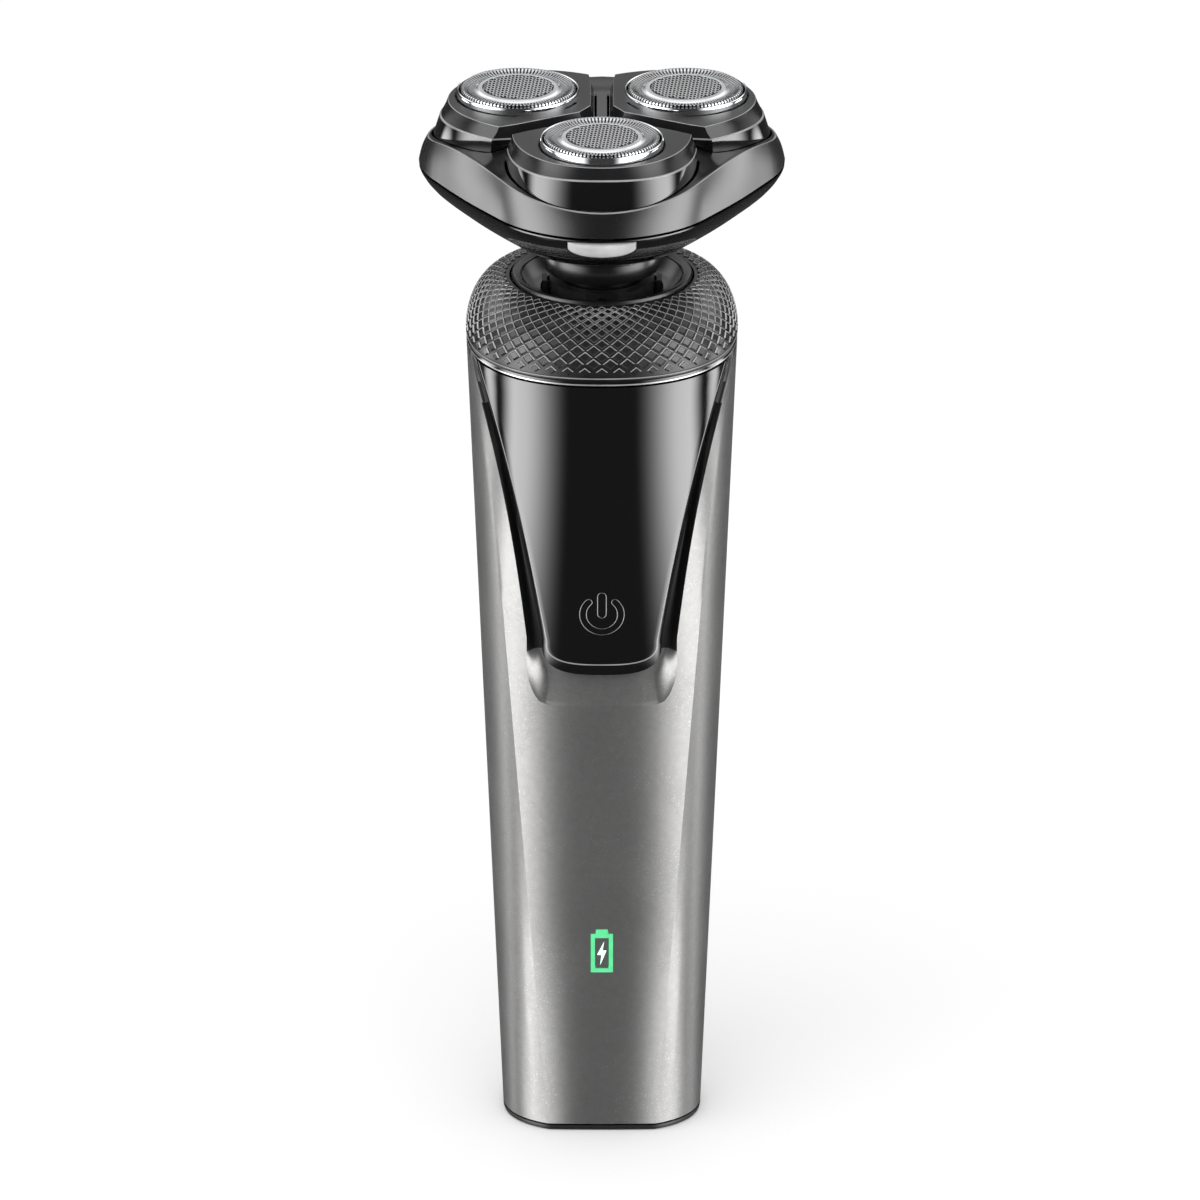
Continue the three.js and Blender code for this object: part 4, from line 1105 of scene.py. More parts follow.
def make_base():
    """Base cap: a soft foot edge, a plug into the casing, and holes for inlet and screws."""
    top = CASING[0].z - 0.3
    skin = Skin()
    rounding = [(0.0, 0.5), (0.06, 0.25), (0.2, 0.08), (0.5, 0.0), (top, 0.0)]
    rows = []
    for z, inset in rounding:
        rows.append(skin.ring([(x, y, z) for x, y, _ in shrunk(plain_ring(z), inset)]))
    for z in (top, BASE[1].z):
        rows.append(skin.ring([(x, y, z) for x, y, _ in shrunk(plain_ring(z), 2.5, 3.7)]))
    for a, b in zip(rows, rows[1:]):
        skin.bridge(a, b)
    skin.fan(list(reversed(rows[0])), (0, 0, 0))
    skin.fan(rows[-1], (0, 0, BASE[1].z))
    mesh = dressed(skin.mesh("base"), slot_materials()["base_black"])
    cuts = []
    low, high = span("charge_socket")
    mouth_x, mouth_y = high.x - 1.0, (high.y - low.y) / 2 - 1.0
    middle = (low.y + high.y) / 2
    slot = Skin()
    shape = []
    for i in range(32):
        x, y = polar(mouth_y, TAU * i / 32)
        shape.append((x + math.copysign(mouth_x - mouth_y, x), middle + y))
    slot.loft([[(x, y, z) for x, y in shape] for z in (-1, 5)])
    slot.face(range(32))
    slot.face(range(63, 31, -1))
    cuts.append(slot.mesh("mouth"))
    for index in (1, 2):
        low, high = span(f"base_screw_{index}")
        at = ((low.x + high.x) / 2, (low.y + high.y) / 2)
        radius = (high.x - low.x) / 2 + 0.3
        profile = [(0, -1), (radius, -1), (radius, 1.3), (1.1, 1.3), (1.1, 5), (0, 5)]
        cuts.append(lathe(profile, 40, at, closed=False).mesh("screw hole"))
    return piece("Base cap", carved(mesh, *cuts), "handle", "base_black", "base_cap")


# ----------------------------------------------------------- collar and neck

NECK_RADIUS = NECK_RING[1].x
DOME_RADIUS = NECK_RADIUS + 0.3
DOME_FOOT = RIM_Z + 1.2
DOME_RISE = COLLAR[1].z - DOME_FOOT


def rim_path(count):
    """Evenly spaced points round the rim, from the middle of the front towards +X."""
    dense = [Vector((x, y)) for x, y, _ in plain_ring(RIM_Z, 96)]
    start = min(range(len(dense)), key=lambda i: (abs(dense[i].x), dense[i].y))
    front = [i for i, p in enumerate(dense) if p.y < 0 and abs(p.x) < 0.3]
    start = front[len(front) // 2] if front else start
    loop = dense[start:] + dense[: start + 1]
    lengths = [0.0]
    for a, b in zip(loop, loop[1:]):
        lengths.append(lengths[-1] + (b - a).length)
    found = []
    k = 0
    for i in range(count):
        goal = lengths[-1] * i / count
        while lengths[k + 1] < goal:
            k += 1
        t = (goal - lengths[k]) / (lengths[k + 1] - lengths[k])
        found.append(loop[k].lerp(loop[k + 1], t))
    return found


def on_dome(at, turn, inset=0.0):
    """Point of the collar's dome above a point of the rim."""
    reach = at.length
    scale = 1 - inset / reach
    radius = DOME_RADIUS + (reach * scale - DOME_RADIUS) * math.cos(turn)
    z = DOME_FOOT + math.sin(turn) * (DOME_RISE - inset)
    return Vector((at.x / reach * radius, at.y / reach * radius, z))


def make_collar():
    path = rim_path(144)
    turns = [math.pi / 2 * i / 16 for i in range(17)]
    skin = Skin()
    rows = [skin.ring([on_dome(p, t, 0.12) for p in path]) for t in turns]
    rows += [skin.ring([on_dome(p, t, 2.0) for p in path]) for t in reversed(turns[:-1])]
    for a, b in zip(rows, rows[1:]):
        skin.bridge(a, b)
    skin.bridge(rows[-1], rows[0])
    black = slot_materials()["grip"]
    shell = dressed(skin.mesh("collar"), black)
    around, count = sizes().knurl_around, sizes().knurl_rows
    height = sizes().knurl_height
    spots = rim_path(2 * around)
    first, last = 0.15, 1.42
    places = []
    for row in range(count):
        turn = first + (last - first) * (row / (count - 1)) ** 0.9
        step = (last - first) / (count - 1)
        for k in range(around):
            i = (2 * k + row % 2) % len(spots)
            at = on_dome(spots[i], turn)
            ahead = on_dome(spots[(i + 1) % len(spots)], turn)
            behind = on_dome(spots[i - 1], turn)
            above, below = on_dome(spots[i], turn + 0.02), on_dome(spots[i], turn - 0.02)
            across = ahead - behind
            out = across.cross(above - below).normalized()
            tall = ((above - below).length / 0.04) * step
            keep = 0.93 if 0 < row < count - 1 else 0.7
            axes = axes_of(across, out)
            places.append((at - out * 0.13, axes, (across.length / 2 * keep, tall * keep, 1.0)))
    tile = Skin()
    foot = tile.ring([(1, 0, 0), (0, 1, 0), (-1, 0, 0), (0, -1, 0)])
    top = tile.ring([(0.66, 0, height), (0, 0.66, height), (-0.66, 0, height), (0, -0.66, height)])
    tile.bridge(foot, top)
    tile.face(top)
    tile.face(list(reversed(foot)))
    pattern = tile_mesh(tile)
    knurl = repeated("knurl", pattern, places, knurl_black())
    ridge = Skin()
    rows = []
    for x, y in ((1, 0), (0, 1), (-1, 0)):
        rows.append(ridge.ring([
            (x, y, height * 0.3), (x * 0.86, y * 0.86, height + 0.03), (x * 0.76, y * 0.76, height * 0.3),
        ]))
    ridge.bridge(rows[0], rows[1])
    ridge.bridge(rows[1], rows[2])
    ridge.face(rows[0])
    ridge.face(list(reversed(rows[2])))
    # Painted glint: a light grey strip on the upper edges of every diamond.
    edge = plain("Knurl edge painted glint", (0.75, 0.75, 0.75), 0.3, 0.3, 0.02)
    ridges = repeated("ridges", tile_mesh(ridge), places, edge)
    # Painted highlight: a grey line round the foot of the dome.
    line = tube([on_dome(p, 0.035, 0.02) for p in path], 0.1).mesh("line", 60)
    grey = crease_painted_highlight()
    whole = merged("collar", [shell, knurl, ridges, dressed(line, grey)])
    return piece("Grip collar", whole, "handle", "grip", "grip_collar")


def tile_mesh(skin):
    """A repeated shape: its plan is in units of its place, its height in millimetres."""
    mesh = bpy.data.meshes.new("tile")
    mesh.from_pydata([(p.x * MM, p.y * MM, p.z * MM) for p in skin.points], [], skin.faces)
    work = bmesh.new()
    work.from_mesh(mesh)
    bmesh.ops.recalc_face_normals(work, faces=work.faces)
    work.to_mesh(mesh)
    work.free()
    return mesh


def knurl_black():
    made, s, put, at = material("Knurl", (0.012, 0.012, 0.013), 0.3)
    grain = group(s, grain_group(), Vector=at, Amount=1.0)
    s.put(put["Roughness"], s.math("ADD", s.math("MULTIPLY", s.noise(at, 300, 2.0), 0.12), 0.2))
    s.put(put["Normal"], s.bump(grain["Height"], 0.08, 0.02))
    return made


def make_rim():
    """Trim between casing and collar: a black band with a bright bead under it."""
    low, high = span("rim_trim")
    path = rim_path(144)
    skin = Skin()
    profile = [
        (low.z, 0.08), (low.z + 0.1, 0.0), (low.z + 0.26, 0.06), (high.z - 0.1, 0.06), (high.z, 0.16),
        (high.z, 2.2), (low.z, 2.2),
    ]
    rows = []
    for z, t in profile:
        rows.append(skin.ring([(p.x - p.x / p.length * t, p.y - p.y / p.length * t, z) for p in path]))
    for index, (a, b) in enumerate(zip(rows, rows[1:])):
        skin.bridge(a, b, 1 if index < 2 else 0)
    skin.bridge(rows[-1], rows[0])
    line = plain("Rim line", (0.6, 0.6, 0.6), 0.2, 0.6, 0.02)
    band = dressed(skin.mesh("rim"), slot_materials()["gloss_black"], line)
    return piece("Rim trim", band, "handle", "gloss_black", "rim_trim")


def make_neck():
    top = NECK_RING[1].z
    low = NECK_RING[0].z
    hole = 9.8
    outer = NECK_RADIUS
    gap = 12.85
    dish = [(hole, top - 2.6)]
    for i in range(1, 9):
        t = i / 8
        dish.append((hole + (gap - 0.14 - hole) * t, top - 2.6 + 2.1 * t**1.9))
    profile = [
        *dish, (gap - 0.1, top - 0.6), (gap - 0.1, top - 1.1),
        (gap + 0.1, top - 1.1), (gap + 0.1, top - 0.45),
        (gap + 0.2, top - 0.3), (outer - 0.8, top - 0.04), (outer - 0.55, top),
        (outer - 0.25, top - 0.08), (outer - 0.08, top - 0.3), (outer, top - 0.6),
        (outer, low), (hole, low),
    ]
    ring = dressed(lathe(profile, 128).mesh("neck ring", 24), slot_materials()["neck_black"])
    piece("Neck ring", ring, "handle", "neck_black", "neck_ring")
    pivot = Vector(joint("head_roll")["pos_m"]).z / MM
    high = span("neck_stem")[1].z
    inner = 3.9
    profile = [
        (inner, pivot - 1.9), (5.9, pivot - 1.9), (5.9, pivot + 2.2), (6.4, pivot + 2.8), (8.6, pivot + 3.2),
        (9.1, pivot + 3.5), (9.3, pivot + 4.2), (9.36, high - 0.6),
        (9.3, high - 0.1), (9.2, high), (inner, high),
    ]
    stem = lathe(profile, 96).mesh("stem", 24)
    pins = []
    for side in (-1, 1):
        pin = lathe([(0, 4.7), (0.9, 4.7), (0.9, 7.95), (0.8, 8.05), (0, 8.05)], 24, closed=False).mesh("pin")
        pin.transform(Matrix.Translation((0, 0, pivot * MM)) @ Matrix.Rotation(side * math.pi / 2, 4, "X"))
        pins.append(dressed(pin, slot_materials()["neck_black"]))
    dressed(stem, slot_materials()["neck_black"])
    return piece("Neck stem", merged("stem", [stem, *pins]), "head", "neck_black", "neck_stem")


# ---------------------------------------------------------------------- head


def valley(angle):
    """0 in front of a cutter, 1 midway between two."""
    return (1 - math.cos(3 * (angle - TURNS[0]))) / 2


BULGE = 0.7


def hull(centre, radius, z, arc=20, edge=8):
    """Outline round three circles whose centres lie on the three lobes."""
    corners = []
    for turn in TURNS:
        cx, cy = polar(centre, turn)
        row = []
        for i in range(arc + 1):
            x, y = polar(radius, turn - math.pi / 3 + TAU / 3 * i / arc)
            row.append(Vector((cx + x, cy + y, z)))
        corners.append(row)
    ring = []
    for k, row in enumerate(corners):
        ring.extend(row)
        after = corners[(k + 1) % 3][0]
        ring.extend(row[-1].lerp(after, i / edge) for i in range(1, edge))
    for point in ring:
        swell = BULGE * valley(math.atan2(point.y, point.x)) ** 2 * centre / LOBE_CENTRE
        reach = point.to_2d().length
        point.x *= 1 + swell / reach
        point.y *= 1 + swell / reach
    return ring


def rod_x(radius, x0, x1, y, z, count=32):
    skin = Skin()
    rows = []
    for x in (x0, x1):
        turns = [polar(radius, TAU * i / count) for i in range(count)]
        rows.append(skin.ring([(x, y + v, z + w) for v, w in turns]))
    skin.bridge(*rows)
    skin.face(rows[0])
    skin.face(list(reversed(rows[1])))
    return skin


def rod_z(radius, x, y, z0, z1, count=32):
    profile = [(0, z0), (radius, z0), (radius, z1), (0, z1)]
    return lathe(profile, count, (x, y), closed=False)


def knuckle(x0, x1):
    """One barrel of the hinge with its bore."""
    skin = Skin()
    radius, bore, soft = HINGE_BARREL, HINGE_BORE, 0.12
    rows = []
    profile = [
        (bore, x0), (radius - soft, x0), (radius, x0 + soft),
        (radius, x1 - soft), (radius - soft, x1), (bore, x1),
    ]
    for r, x in profile:
        row = []
        for i in range(36):
            v, w = polar(r, TAU * i / 36)
            row.append((x, HINGE.y + v, HINGE.z + w))
        rows.append(skin.ring(row))
    for a, b in zip(rows, rows[1:]):
        skin.bridge(a, b)
    skin.bridge(rows[-1], rows[0])
    return skin


def half_moon(grow):
    half = span("release_button")[1].x + grow
    top = 159.9 + grow
    outline = [(-half, top)]
    for i in range(33):
        a = math.pi + math.pi * i / 32
        outline.append((half * math.cos(a), 158.7 + (2.2 + grow) * math.sin(a)))
    outline.append((half, top))
    return outline


LOWER_TOP = SEAM_Z - SEAM_GAP / 2
UPPER_LOW = SEAM_Z + SEAM_GAP / 2


def bowl_level(t):
    """Centre, radius and height of the lower bowl's section."""
    knots = (
        (0, 9.8, LOWER[0].z), (8.6, 12.9, 152.4), (12.4, 17.0, 156.2), (LOBE_CENTRE, LOBE_RADIUS, LOWER_TOP),
    )
    weights = ((1 - t) ** 3, 3 * t * (1 - t) ** 2, 3 * t * t * (1 - t), t**3)
    return [sum(w * k[i] for w, k in zip(weights, knots)) for i in range(3)]


def make_lower_bowl():
    skin = Skin()
    rows = []
    for i in range(25):
        centre, radius, z = bowl_level(i / 24)
        soft = 0.14 if i == 24 else 0.0
        rows.append(skin.ring(hull(centre, radius - soft, z)))
        if i == 23:
            centre, radius, z = bowl_level(0.985)
            rows.append(skin.ring(hull(centre, radius, z)))
    wall = 1.6
    rows.append(skin.ring(hull(LOBE_CENTRE, LOBE_RADIUS - wall, LOWER_TOP)))
    rows.append(skin.ring(hull(LOBE_CENTRE, 15.7 - wall, 155.9)))
    for a, b in zip(rows, rows[1:]):
        skin.bridge(a, b)
    skin.fan(list(reversed(rows[0])), (0, 0, LOWER[0].z))
    skin.fan(rows[-1], (0, 0, 155.9))
    black = slot_materials()["gloss_black"]
    mesh = dressed(skin.mesh("bowl", 24), black)
    cuts = [
        prism_y(half_moon(0.16), -40, -22).mesh("window"),
        rod_z(1.6, 0, 0, 147, 158).mesh("bore"),
        rod_x(HINGE_SLOT, -4.78, 4.78, HINGE.y, HINGE.z).mesh("hinge slot"),
        rod_x(HINGE_BORE, -9.8, 9.8, HINGE.y, HINGE.z).mesh("hinge bore"),
    ]
    cuts += [rod_z(1.6, c.x, c.y, 154, 158).mesh("bearing") for c in CUTTERS]
    shell = carved(mesh, *cuts)
    extra = [knuckle(4.9, 8.6).mesh("barrel", 35), knuckle(-8.6, -4.9).mesh("barrel", 35)]
    for index in (1, 2, 3):
        low, high = span(f"gear_cover_screw_{index}")
        at = ((low.x + high.x) / 2, (low.y + high.y) / 2)
        profile = [(1.1, 155.5), (2.2, 155.5), (2.2, 159.0), (1.1, 159.0)]
        extra.append(lathe(profile, 32, at).mesh("pillar", 35))
    parts = [shell] + [dressed(m, black) for m in extra]
    return piece("Lower bowl", merged("bowl", parts), "head", "gloss_black", "lower_bowl")


NOSE_DEPTH = 2.3  # of the latch nose behind the bowl's front
NOSE_THICK = 1.3


def make_button():
    """Release button: a half moon which bulges a little from the bowl."""
    satin = slot_materials()["satin_chrome"]
    outline = half_moon(0)
    skin = Skin()
    centre_z = 158.5
    rows = []
    for share, bulge in ((1.0, 0.0), (0.985, 0.12), (0.93, 0.22), (0.8, 0.31), (0.6, 0.38), (0.35, 0.42)):
        row = []
        for x, z in outline:
            px, pz = x * share, centre_z + (z - centre_z) * share
            row.append((px, bowl_front(px, pz) - bulge + 0.1, pz))
        rows.append(skin.ring(row))
    back = skin.ring([(x, bowl_front(x, z) + 1.5, z) for x, z in outline])
    skin.bridge(back, rows[0])
    for a, b in zip(rows, rows[1:]):
        skin.bridge(a, b)
    skin.fan(rows[-1], (0, bowl_front(0, centre_z) - 0.33, centre_z))
    skin.face(list(reversed(back)))
    face = dressed(skin.mesh("button", 50), satin)
    high = span("release_button")[1]
    nose = Skin()
    near = -LOBE_CENTRE - LOBE_RADIUS + NOSE_DEPTH
    far = near + NOSE_THICK
    shape = [(-2, near), (2, near), (2, far), (-2, far)]
    nose.loft([[(x, y, z) for x, y in shape] for z in (157.5, high.z)])
    nose.face((3, 2, 1, 0))
    nose.face((4, 5, 6, 7))
    parts = [face, dressed(nose.mesh("nose"), satin)]
    mesh = merged("button", parts)
    return piece("Release button", mesh, "release_button", "satin_chrome", "release_button")


def bowl_front(x, z):
    """Where the lower bowl's front lies, on the lobe that faces forward."""
    low, high = 0.0, 1.0
    for _ in range(24):
        middle = (low + high) / 2
        if bowl_level(middle)[2] < z:
            low = middle
        else:
            high = middle
    centre, radius, _ = bowl_level(low)
    return -centre - math.sqrt(max(0.01, radius * radius - x * x))


def frame_outline(turn, tip, half, squareness, gap, z, steps=40):
    """Outline of a cutter frame about its own lobe, between the gaps beside it."""
    apex = gap / math.sin(TAU / 6) + 1

    def sector(u):
        return u * math.tan(TAU / 6) - gap / math.cos(TAU / 6)

    side = [(apex, -sector(apex))]
    for i in range(steps + 1):
        a = math.pi * (i / steps - 0.5)
        u = FRAME_WIDEST + (tip - FRAME_WIDEST) * abs(math.cos(a)) ** (2 / squareness)
        v = power(math.sin(a), 2 / squareness) * half
        side.append((u, math.copysign(min(abs(v), sector(u)), v)))
    side.append((apex, sector(apex)))
    c, s = polar(1, turn)
    return [Vector((u * c - v * s, u * s + v * c, z)) for u, v in side]


def make_upper_bowl():
    black = detail("Bowl black", lambda: gloss_black("Bowl black", 0.27, 0.8, 0.12))
    foot = hull(LOBE_CENTRE, LOBE_RADIUS, UPPER_LOW)
    crest, cap = [], hull(0, 15, 168.9)
    for p in hull(LOBE_CENTRE, LOBE_RADIUS, SEAM_Z):
        v = valley(math.atan2(p.y, p.x))
        scale = 1 - 1.7 * (1 - 0.8 * v) / p.to_2d().length
        crest.append(Vector((p.x * scale, p.y * scale, CREST_FRONT + (CREST_VALLEY - CREST_FRONT) * v)))
    skin = Skin()
    rows = [skin.ring([(p.x * 0.994, p.y * 0.994, p.z) for p in foot])]
    rows.append(skin.ring([(p.x, p.y, p.z + 0.14) for p in foot]))
    for i in range(1, 12):
        t = i / 12
        out = 0.25 * math.sin(math.pi * t)
        row = []
        for a, b in zip(foot, crest):
            p = a.lerp(b, t)
            reach = p.to_2d().length
            bulge = out * (1 - valley(math.atan2(p.y, p.x)) * 0.5)
            row.append((p.x * (1 + bulge / reach), p.y * (1 + bulge / reach), p.z))
        rows.append(skin.ring(row))
    rows.append(skin.ring(crest))
    lip = [p.lerp(c, 0.025) + Vector((0, 0, 0.02)) for p, c in zip(crest, cap)]
    rows.append(skin.ring(lip))
    for i in range(1, 8):
        t = i / 8
        row = []
        for a, b in zip(lip, cap):
            p = a.lerp(b, t)
            v = valley(math.atan2(p.y, p.x))
            row.append((p.x, p.y, p.z - (1.5 * v + 0.2) * math.sin(math.pi * t) ** 0.8))
        rows.append(skin.ring(row))
    rows.append(skin.ring(cap))
    # The band between the crest and the lip takes the painted highlight, a grey line.
    for index, (a, b) in enumerate(zip(rows, rows[1:])):
        skin.bridge(a, b, 1 if index == 13 else 0)
    skin.fan(list(reversed(rows[0])), (0, 0, UPPER_LOW))
    skin.fan(rows[-1], (0, 0, 168.9))
    bright = crease_painted_highlight()
    body = dressed(skin.mesh("cover", 24), black, bright)
    hollow = Skin()
    levels_in = [
        hull(LOBE_CENTRE, LOBE_RADIUS - 1.6, SEAM_Z - 1),
        hull(LOBE_CENTRE, LOBE_RADIUS - 1.6, SEAM_Z),
        hull(LOBE_CENTRE, LOBE_RADIUS - 2.4, SEAM_Z + 2.7),
        hull(LOBE_CENTRE - 2, LOBE_RADIUS - 5, SEAM_Z + 5.8),
    ]
    inner = hollow.loft(levels_in)
    hollow.fan(list(reversed(inner[0])), (0, 0, SEAM_Z - 1))
    hollow.fan(inner[-1], (0, 0, SEAM_Z + 5.8))
    cuts = [hollow.mesh("hollow")]
    for turn in TURNS:
        well = Skin()
        wells = well.loft([
            frame_outline(turn, 28.5, 15.7, 2.6, 0.8, SEAM_Z - 1),
            frame_outline(turn, 28.5, 15.7, 2.6, 0.8, SKIRT_Z),
            frame_outline(turn, 26.75, 15.35, 2.6, 0.8, 169.1),
            frame_outline(turn, 26.75, 15.35, 2.6, 0.8, 175),
        ])
        well.face(list(reversed(wells[0])))
        well.face(wells[-1])
        cuts.append(well.mesh("well"))
    for side in (-1, 1):
        a, b = sorted((side * 4.75, side * 8.9))
        cuts.append(rod_x(HINGE_SLOT, a, b, HINGE.y, HINGE.z).mesh("hinge slot"))
    cuts.append(rod_x(HINGE_BORE, -4.8, 4.8, HINGE.y, HINGE.z).mesh("hinge bore"))
    shell = carved(body, *cuts)
    barrel = dressed(knuckle(-4.6, 4.6).mesh("barrel", 35), black)
    return piece("Head cover", merged("cover", [shell, barrel]), "head_cover", "gloss_black", "upper_bowl")


# ------------------------------------------------------------------- cutters


def smooth_shaded(mesh, sharp=30.0):
    mesh.shade_smooth()
    mesh.set_sharp_from_angle(angle=math.radians(sharp))
    return mesh


def make_frame(index):
    """Cutter frame: matte top, a thin crest, a bevel band and a polished skirt; the grey lines at the foot and the
    top of the band are painted highlights.
    """
    turn = TURNS[index - 1]
    centre = CUTTERS[index - 1]
    gap = 1.2
    # line: painted highlight, the grey of the thin strips at the band's foot and top.
    face, band, skirt, line = 0, 1, 2, 3

    def outline(tip, half, squareness, extra, z):
        return frame_outline(turn, tip, half, squareness, gap + extra, z)

    skin = Skin()
    top = outline(25.9, 14.14, 2.15, 0.72, FACE_Z)
    loops = [
        (outline(28.2, 15.4, 2.6, 0, SKIRT_Z), skirt),
        (outline(27.3, 15.2, 2.6, 0, 166.6), skirt),
        (outline(26.55, 15.04, 2.6, 0, 168.75), line),
        (outline(26.42, 15.0, 2.6, 0.02, 168.94), line),
        (outline(26.36, 14.93, 2.55, 0.08, 169.0), band),
        (outline(26.2, 14.5, 2.3, 0.4, 169.98), band),
        (outline(26.06, 14.24, 2.17, 0.6, 170.88), line),
        (outline(25.98, 14.18, 2.16, 0.66, 170.97), line),
    ]
    rows = [skin.ring(points) for points, _ in loops]
    for (a, b), (_, finish) in zip(zip(rows, rows[1:]), loops):
        skin.bridge(a, b, finish)
    rim = skin.ring(top)
    skin.bridge(rows[-1], rim, face)
    middle = Vector((centre.x, centre.y, FACE_Z))
    directions = [(p - middle).to_2d().normalized() for p in top]

    def round_row(radius, z):
        return skin.ring([(middle.x + d.x * radius, middle.y + d.y * radius, z) for d in directions])

    inside = [(10.16, FACE_Z), (10.06, FACE_Z - 0.08), (10.06, 170.2), (9.5, 170.2), (9.5, SKIRT_Z)]
    below = rim
    for radius, z in inside:
        row = round_row(radius, z)
        skin.bridge(below, row, face)
        below = row
    skin.bridge(below, rows[0], skirt)
    mesh = skin.mesh(f"frame {index}", 16)
    band_black = detail(
        "Band black", lambda: plain("Band black", (0.012, 0.012, 0.013), 0.18, Specular_IOR_Level=0.3)
    )
    grey = crease_painted_highlight()
    dressed(mesh, slot_materials()["frame_grey"], band_black, slot_materials()["gloss_black"], grey)
    name = f"cutter_frame_{index}"
    return piece(f"Cutter frame {index}", mesh, f"cutter_unit_{index}", "frame_grey", name)


def make_ring(index):
    """Bright collar round a foil, rounded at the top with a fine step inside."""
    centre = CUTTERS[index - 1]
    low = span(f"chrome_ring_{index}")[0].z
    t = RING_TOP
    profile = [
        (9.4, low), (9.8, low), (9.8, t - 0.42), (9.78, t - 0.25), (9.72, t - 0.1), (9.62, t),
        (9.54, t - 0.02), (9.46, t - 0.1), (9.4, t - 0.2),
    ]
    mesh = lathe(profile, 128, (centre.x, centre.y)).mesh(f"ring {index}", 40)
    dressed(mesh, slot_materials()["chrome_trim"])
    name = f"chrome_ring_{index}"
    return piece(f"Chrome ring {index}", mesh, f"cutter_unit_{index}", "chrome_trim", name)


SLOT_INNER = 6.95
SLOT_SECTION = [
    (SLOT_INNER, -0.42), (7.5, -0.46), (8.1, -0.3), (8.55, -0.08), (8.85, -0.02), (9.02, -0.1),
    (9.12, -0.26), (9.15, -0.5), (9.15, -1.0),
]


def make_foil(index):
    """Foil cap: a skirt, radial struts over its edge, a smooth valley and a holed middle."""
    centre = CUTTERS[index - 1]
    turn = TURNS[index - 1]
    top = FOIL_TOP
    low = span(f"foil_cap_{index}")[0].z
    steel = slot_materials()["foil_steel"]
    rings = turned_metal(f"Foil turned {index}", (0.74, 0.75, 0.76), 0.16, tuple(centre * MM), 26000, 0.25)
    thick = 0.26
    wall = [
        (FOIL_RADIUS, top - 1.0), (FOIL_RADIUS, low),
        (FOIL_RADIUS - 0.4, low), (FOIL_RADIUS - 0.4, top - 1.0),
    ]
    skirt = lathe(wall, 96, (centre.x, centre.y)).mesh("skirt", 35)
    hub_radius = 6.15
    inner = [
        (SLOT_INNER, top - 0.42), (6.75, top - 0.36), (6.45, top - 0.16), (6.3, top - 0.09),
        (hub_radius, top - 0.1),
        (hub_radius, top - 0.3), (6.45, top - 0.42), (6.75, top - 0.62), (SLOT_INNER, top - 0.68),
    ]
    band = lathe(inner, 96, (centre.x, centre.y)).mesh("band", 40)
    strut = Skin()
    rows = []
    inside = [(r - thick * 0.25, z - thick) for r, z in SLOT_SECTION[:4]]
    inside += [(8.72, -0.3), (8.8, -0.36), (8.86, -0.46), (8.88, -0.6), (8.88, -1.0)]
    count = sizes().slot_count
    for (r, z), (ri, zi) in zip(SLOT_SECTION, inside):
        half = math.pi * r / count * 0.5
        rows.append(strut.ring([(r, -half, z), (r, half, z), (ri, half, zi), (ri, -half, zi)]))
    for a, b in zip(rows, rows[1:]):
        strut.bridge(a, b)
    strut.face(rows[0])
    strut.face(list(reversed(rows[-1])))
    places = []
    for i in range(count):
        a = turn + TAU * (i + 0.5) / count
        axes = Matrix.Rotation(a, 3, "Z")
        places.append((Vector((centre.x, centre.y, top)), axes, (1.0, 1.0, 1.0)))
    struts = smooth_shaded(repeated("struts", tile_mesh(strut), places, rings), 40)
    holed = make_holes(centre, hub_radius, top, rings)
    for part, finish in ((skirt, steel), (band, rings)):
        dressed(part, finish)
    name = f"foil_cap_{index}"
    mesh = merged(f"foil {index}", [skirt, band, struts, holed])
    return piece(f"Foil cap {index}", mesh, f"cutter_unit_{index}", "foil_steel", name)


def make_holes(centre, reach, top, finish):
    """The middle of a foil: tiles with one slanted slot each, on a slanted grid."""
    pitch = sizes().hole_pitch
    tile = Skin()
    half = 0.5
    outer, inner = [], []
    for i in range(12):
        a = TAU * i / 12 + TAU / 24
        x, y = math.cos(a), math.sin(a)
        stretch = half / max(abs(x), abs(y))
        outer.append((x * stretch, y * stretch, 0))
        inner.append((x * 0.33, y * 0.41, -0.03))
    rows = [tile.ring(outer), tile.ring(inner)]
    rows.append(tile.ring([(x, y, -0.2) for x, y, _ in inner]))
    tile.bridge(rows[0], rows[1])
    tile.bridge(rows[1], rows[2])
    slant = math.radians(14)
    tall = 1.5 * pitch
    places = []
    count = int(reach / pitch) + 2
    for i in range(-count, count + 1):
        for j in range(-count, count + 1):
            u = (i + 0.5 * (j % 2)) * pitch
            v = j * tall
            if math.hypot(abs(u) + pitch / 2, abs(v) + tall / 2) > reach - 0.05:
                continue
            x, y = u * math.cos(slant) - v * math.sin(slant), u * math.sin(slant) + v * math.cos(slant)
            rise = -0.1 - 0.05 * (1 - (math.hypot(u, v) / reach) ** 2)
            at = Vector((centre.x + x, centre.y + y, top + rise))
            places.append((at, Matrix.Rotation(slant, 3, "Z"), (pitch, tall, 1.0)))
    tiles = repeated("holes", tile_mesh(tile), places, finish)
    inside = reach - pitch * 0.75
    profile = [(reach, top - 0.1), (inside, top - 0.115), (inside, top - 0.2), (reach, top - 0.3)]
    rim = lathe(profile, 96, (centre.x, centre.y)).mesh("rim", 40)
    return merged("middle", [tiles, dressed(rim, finish)])


# --------------------------------------------------------------------- stage


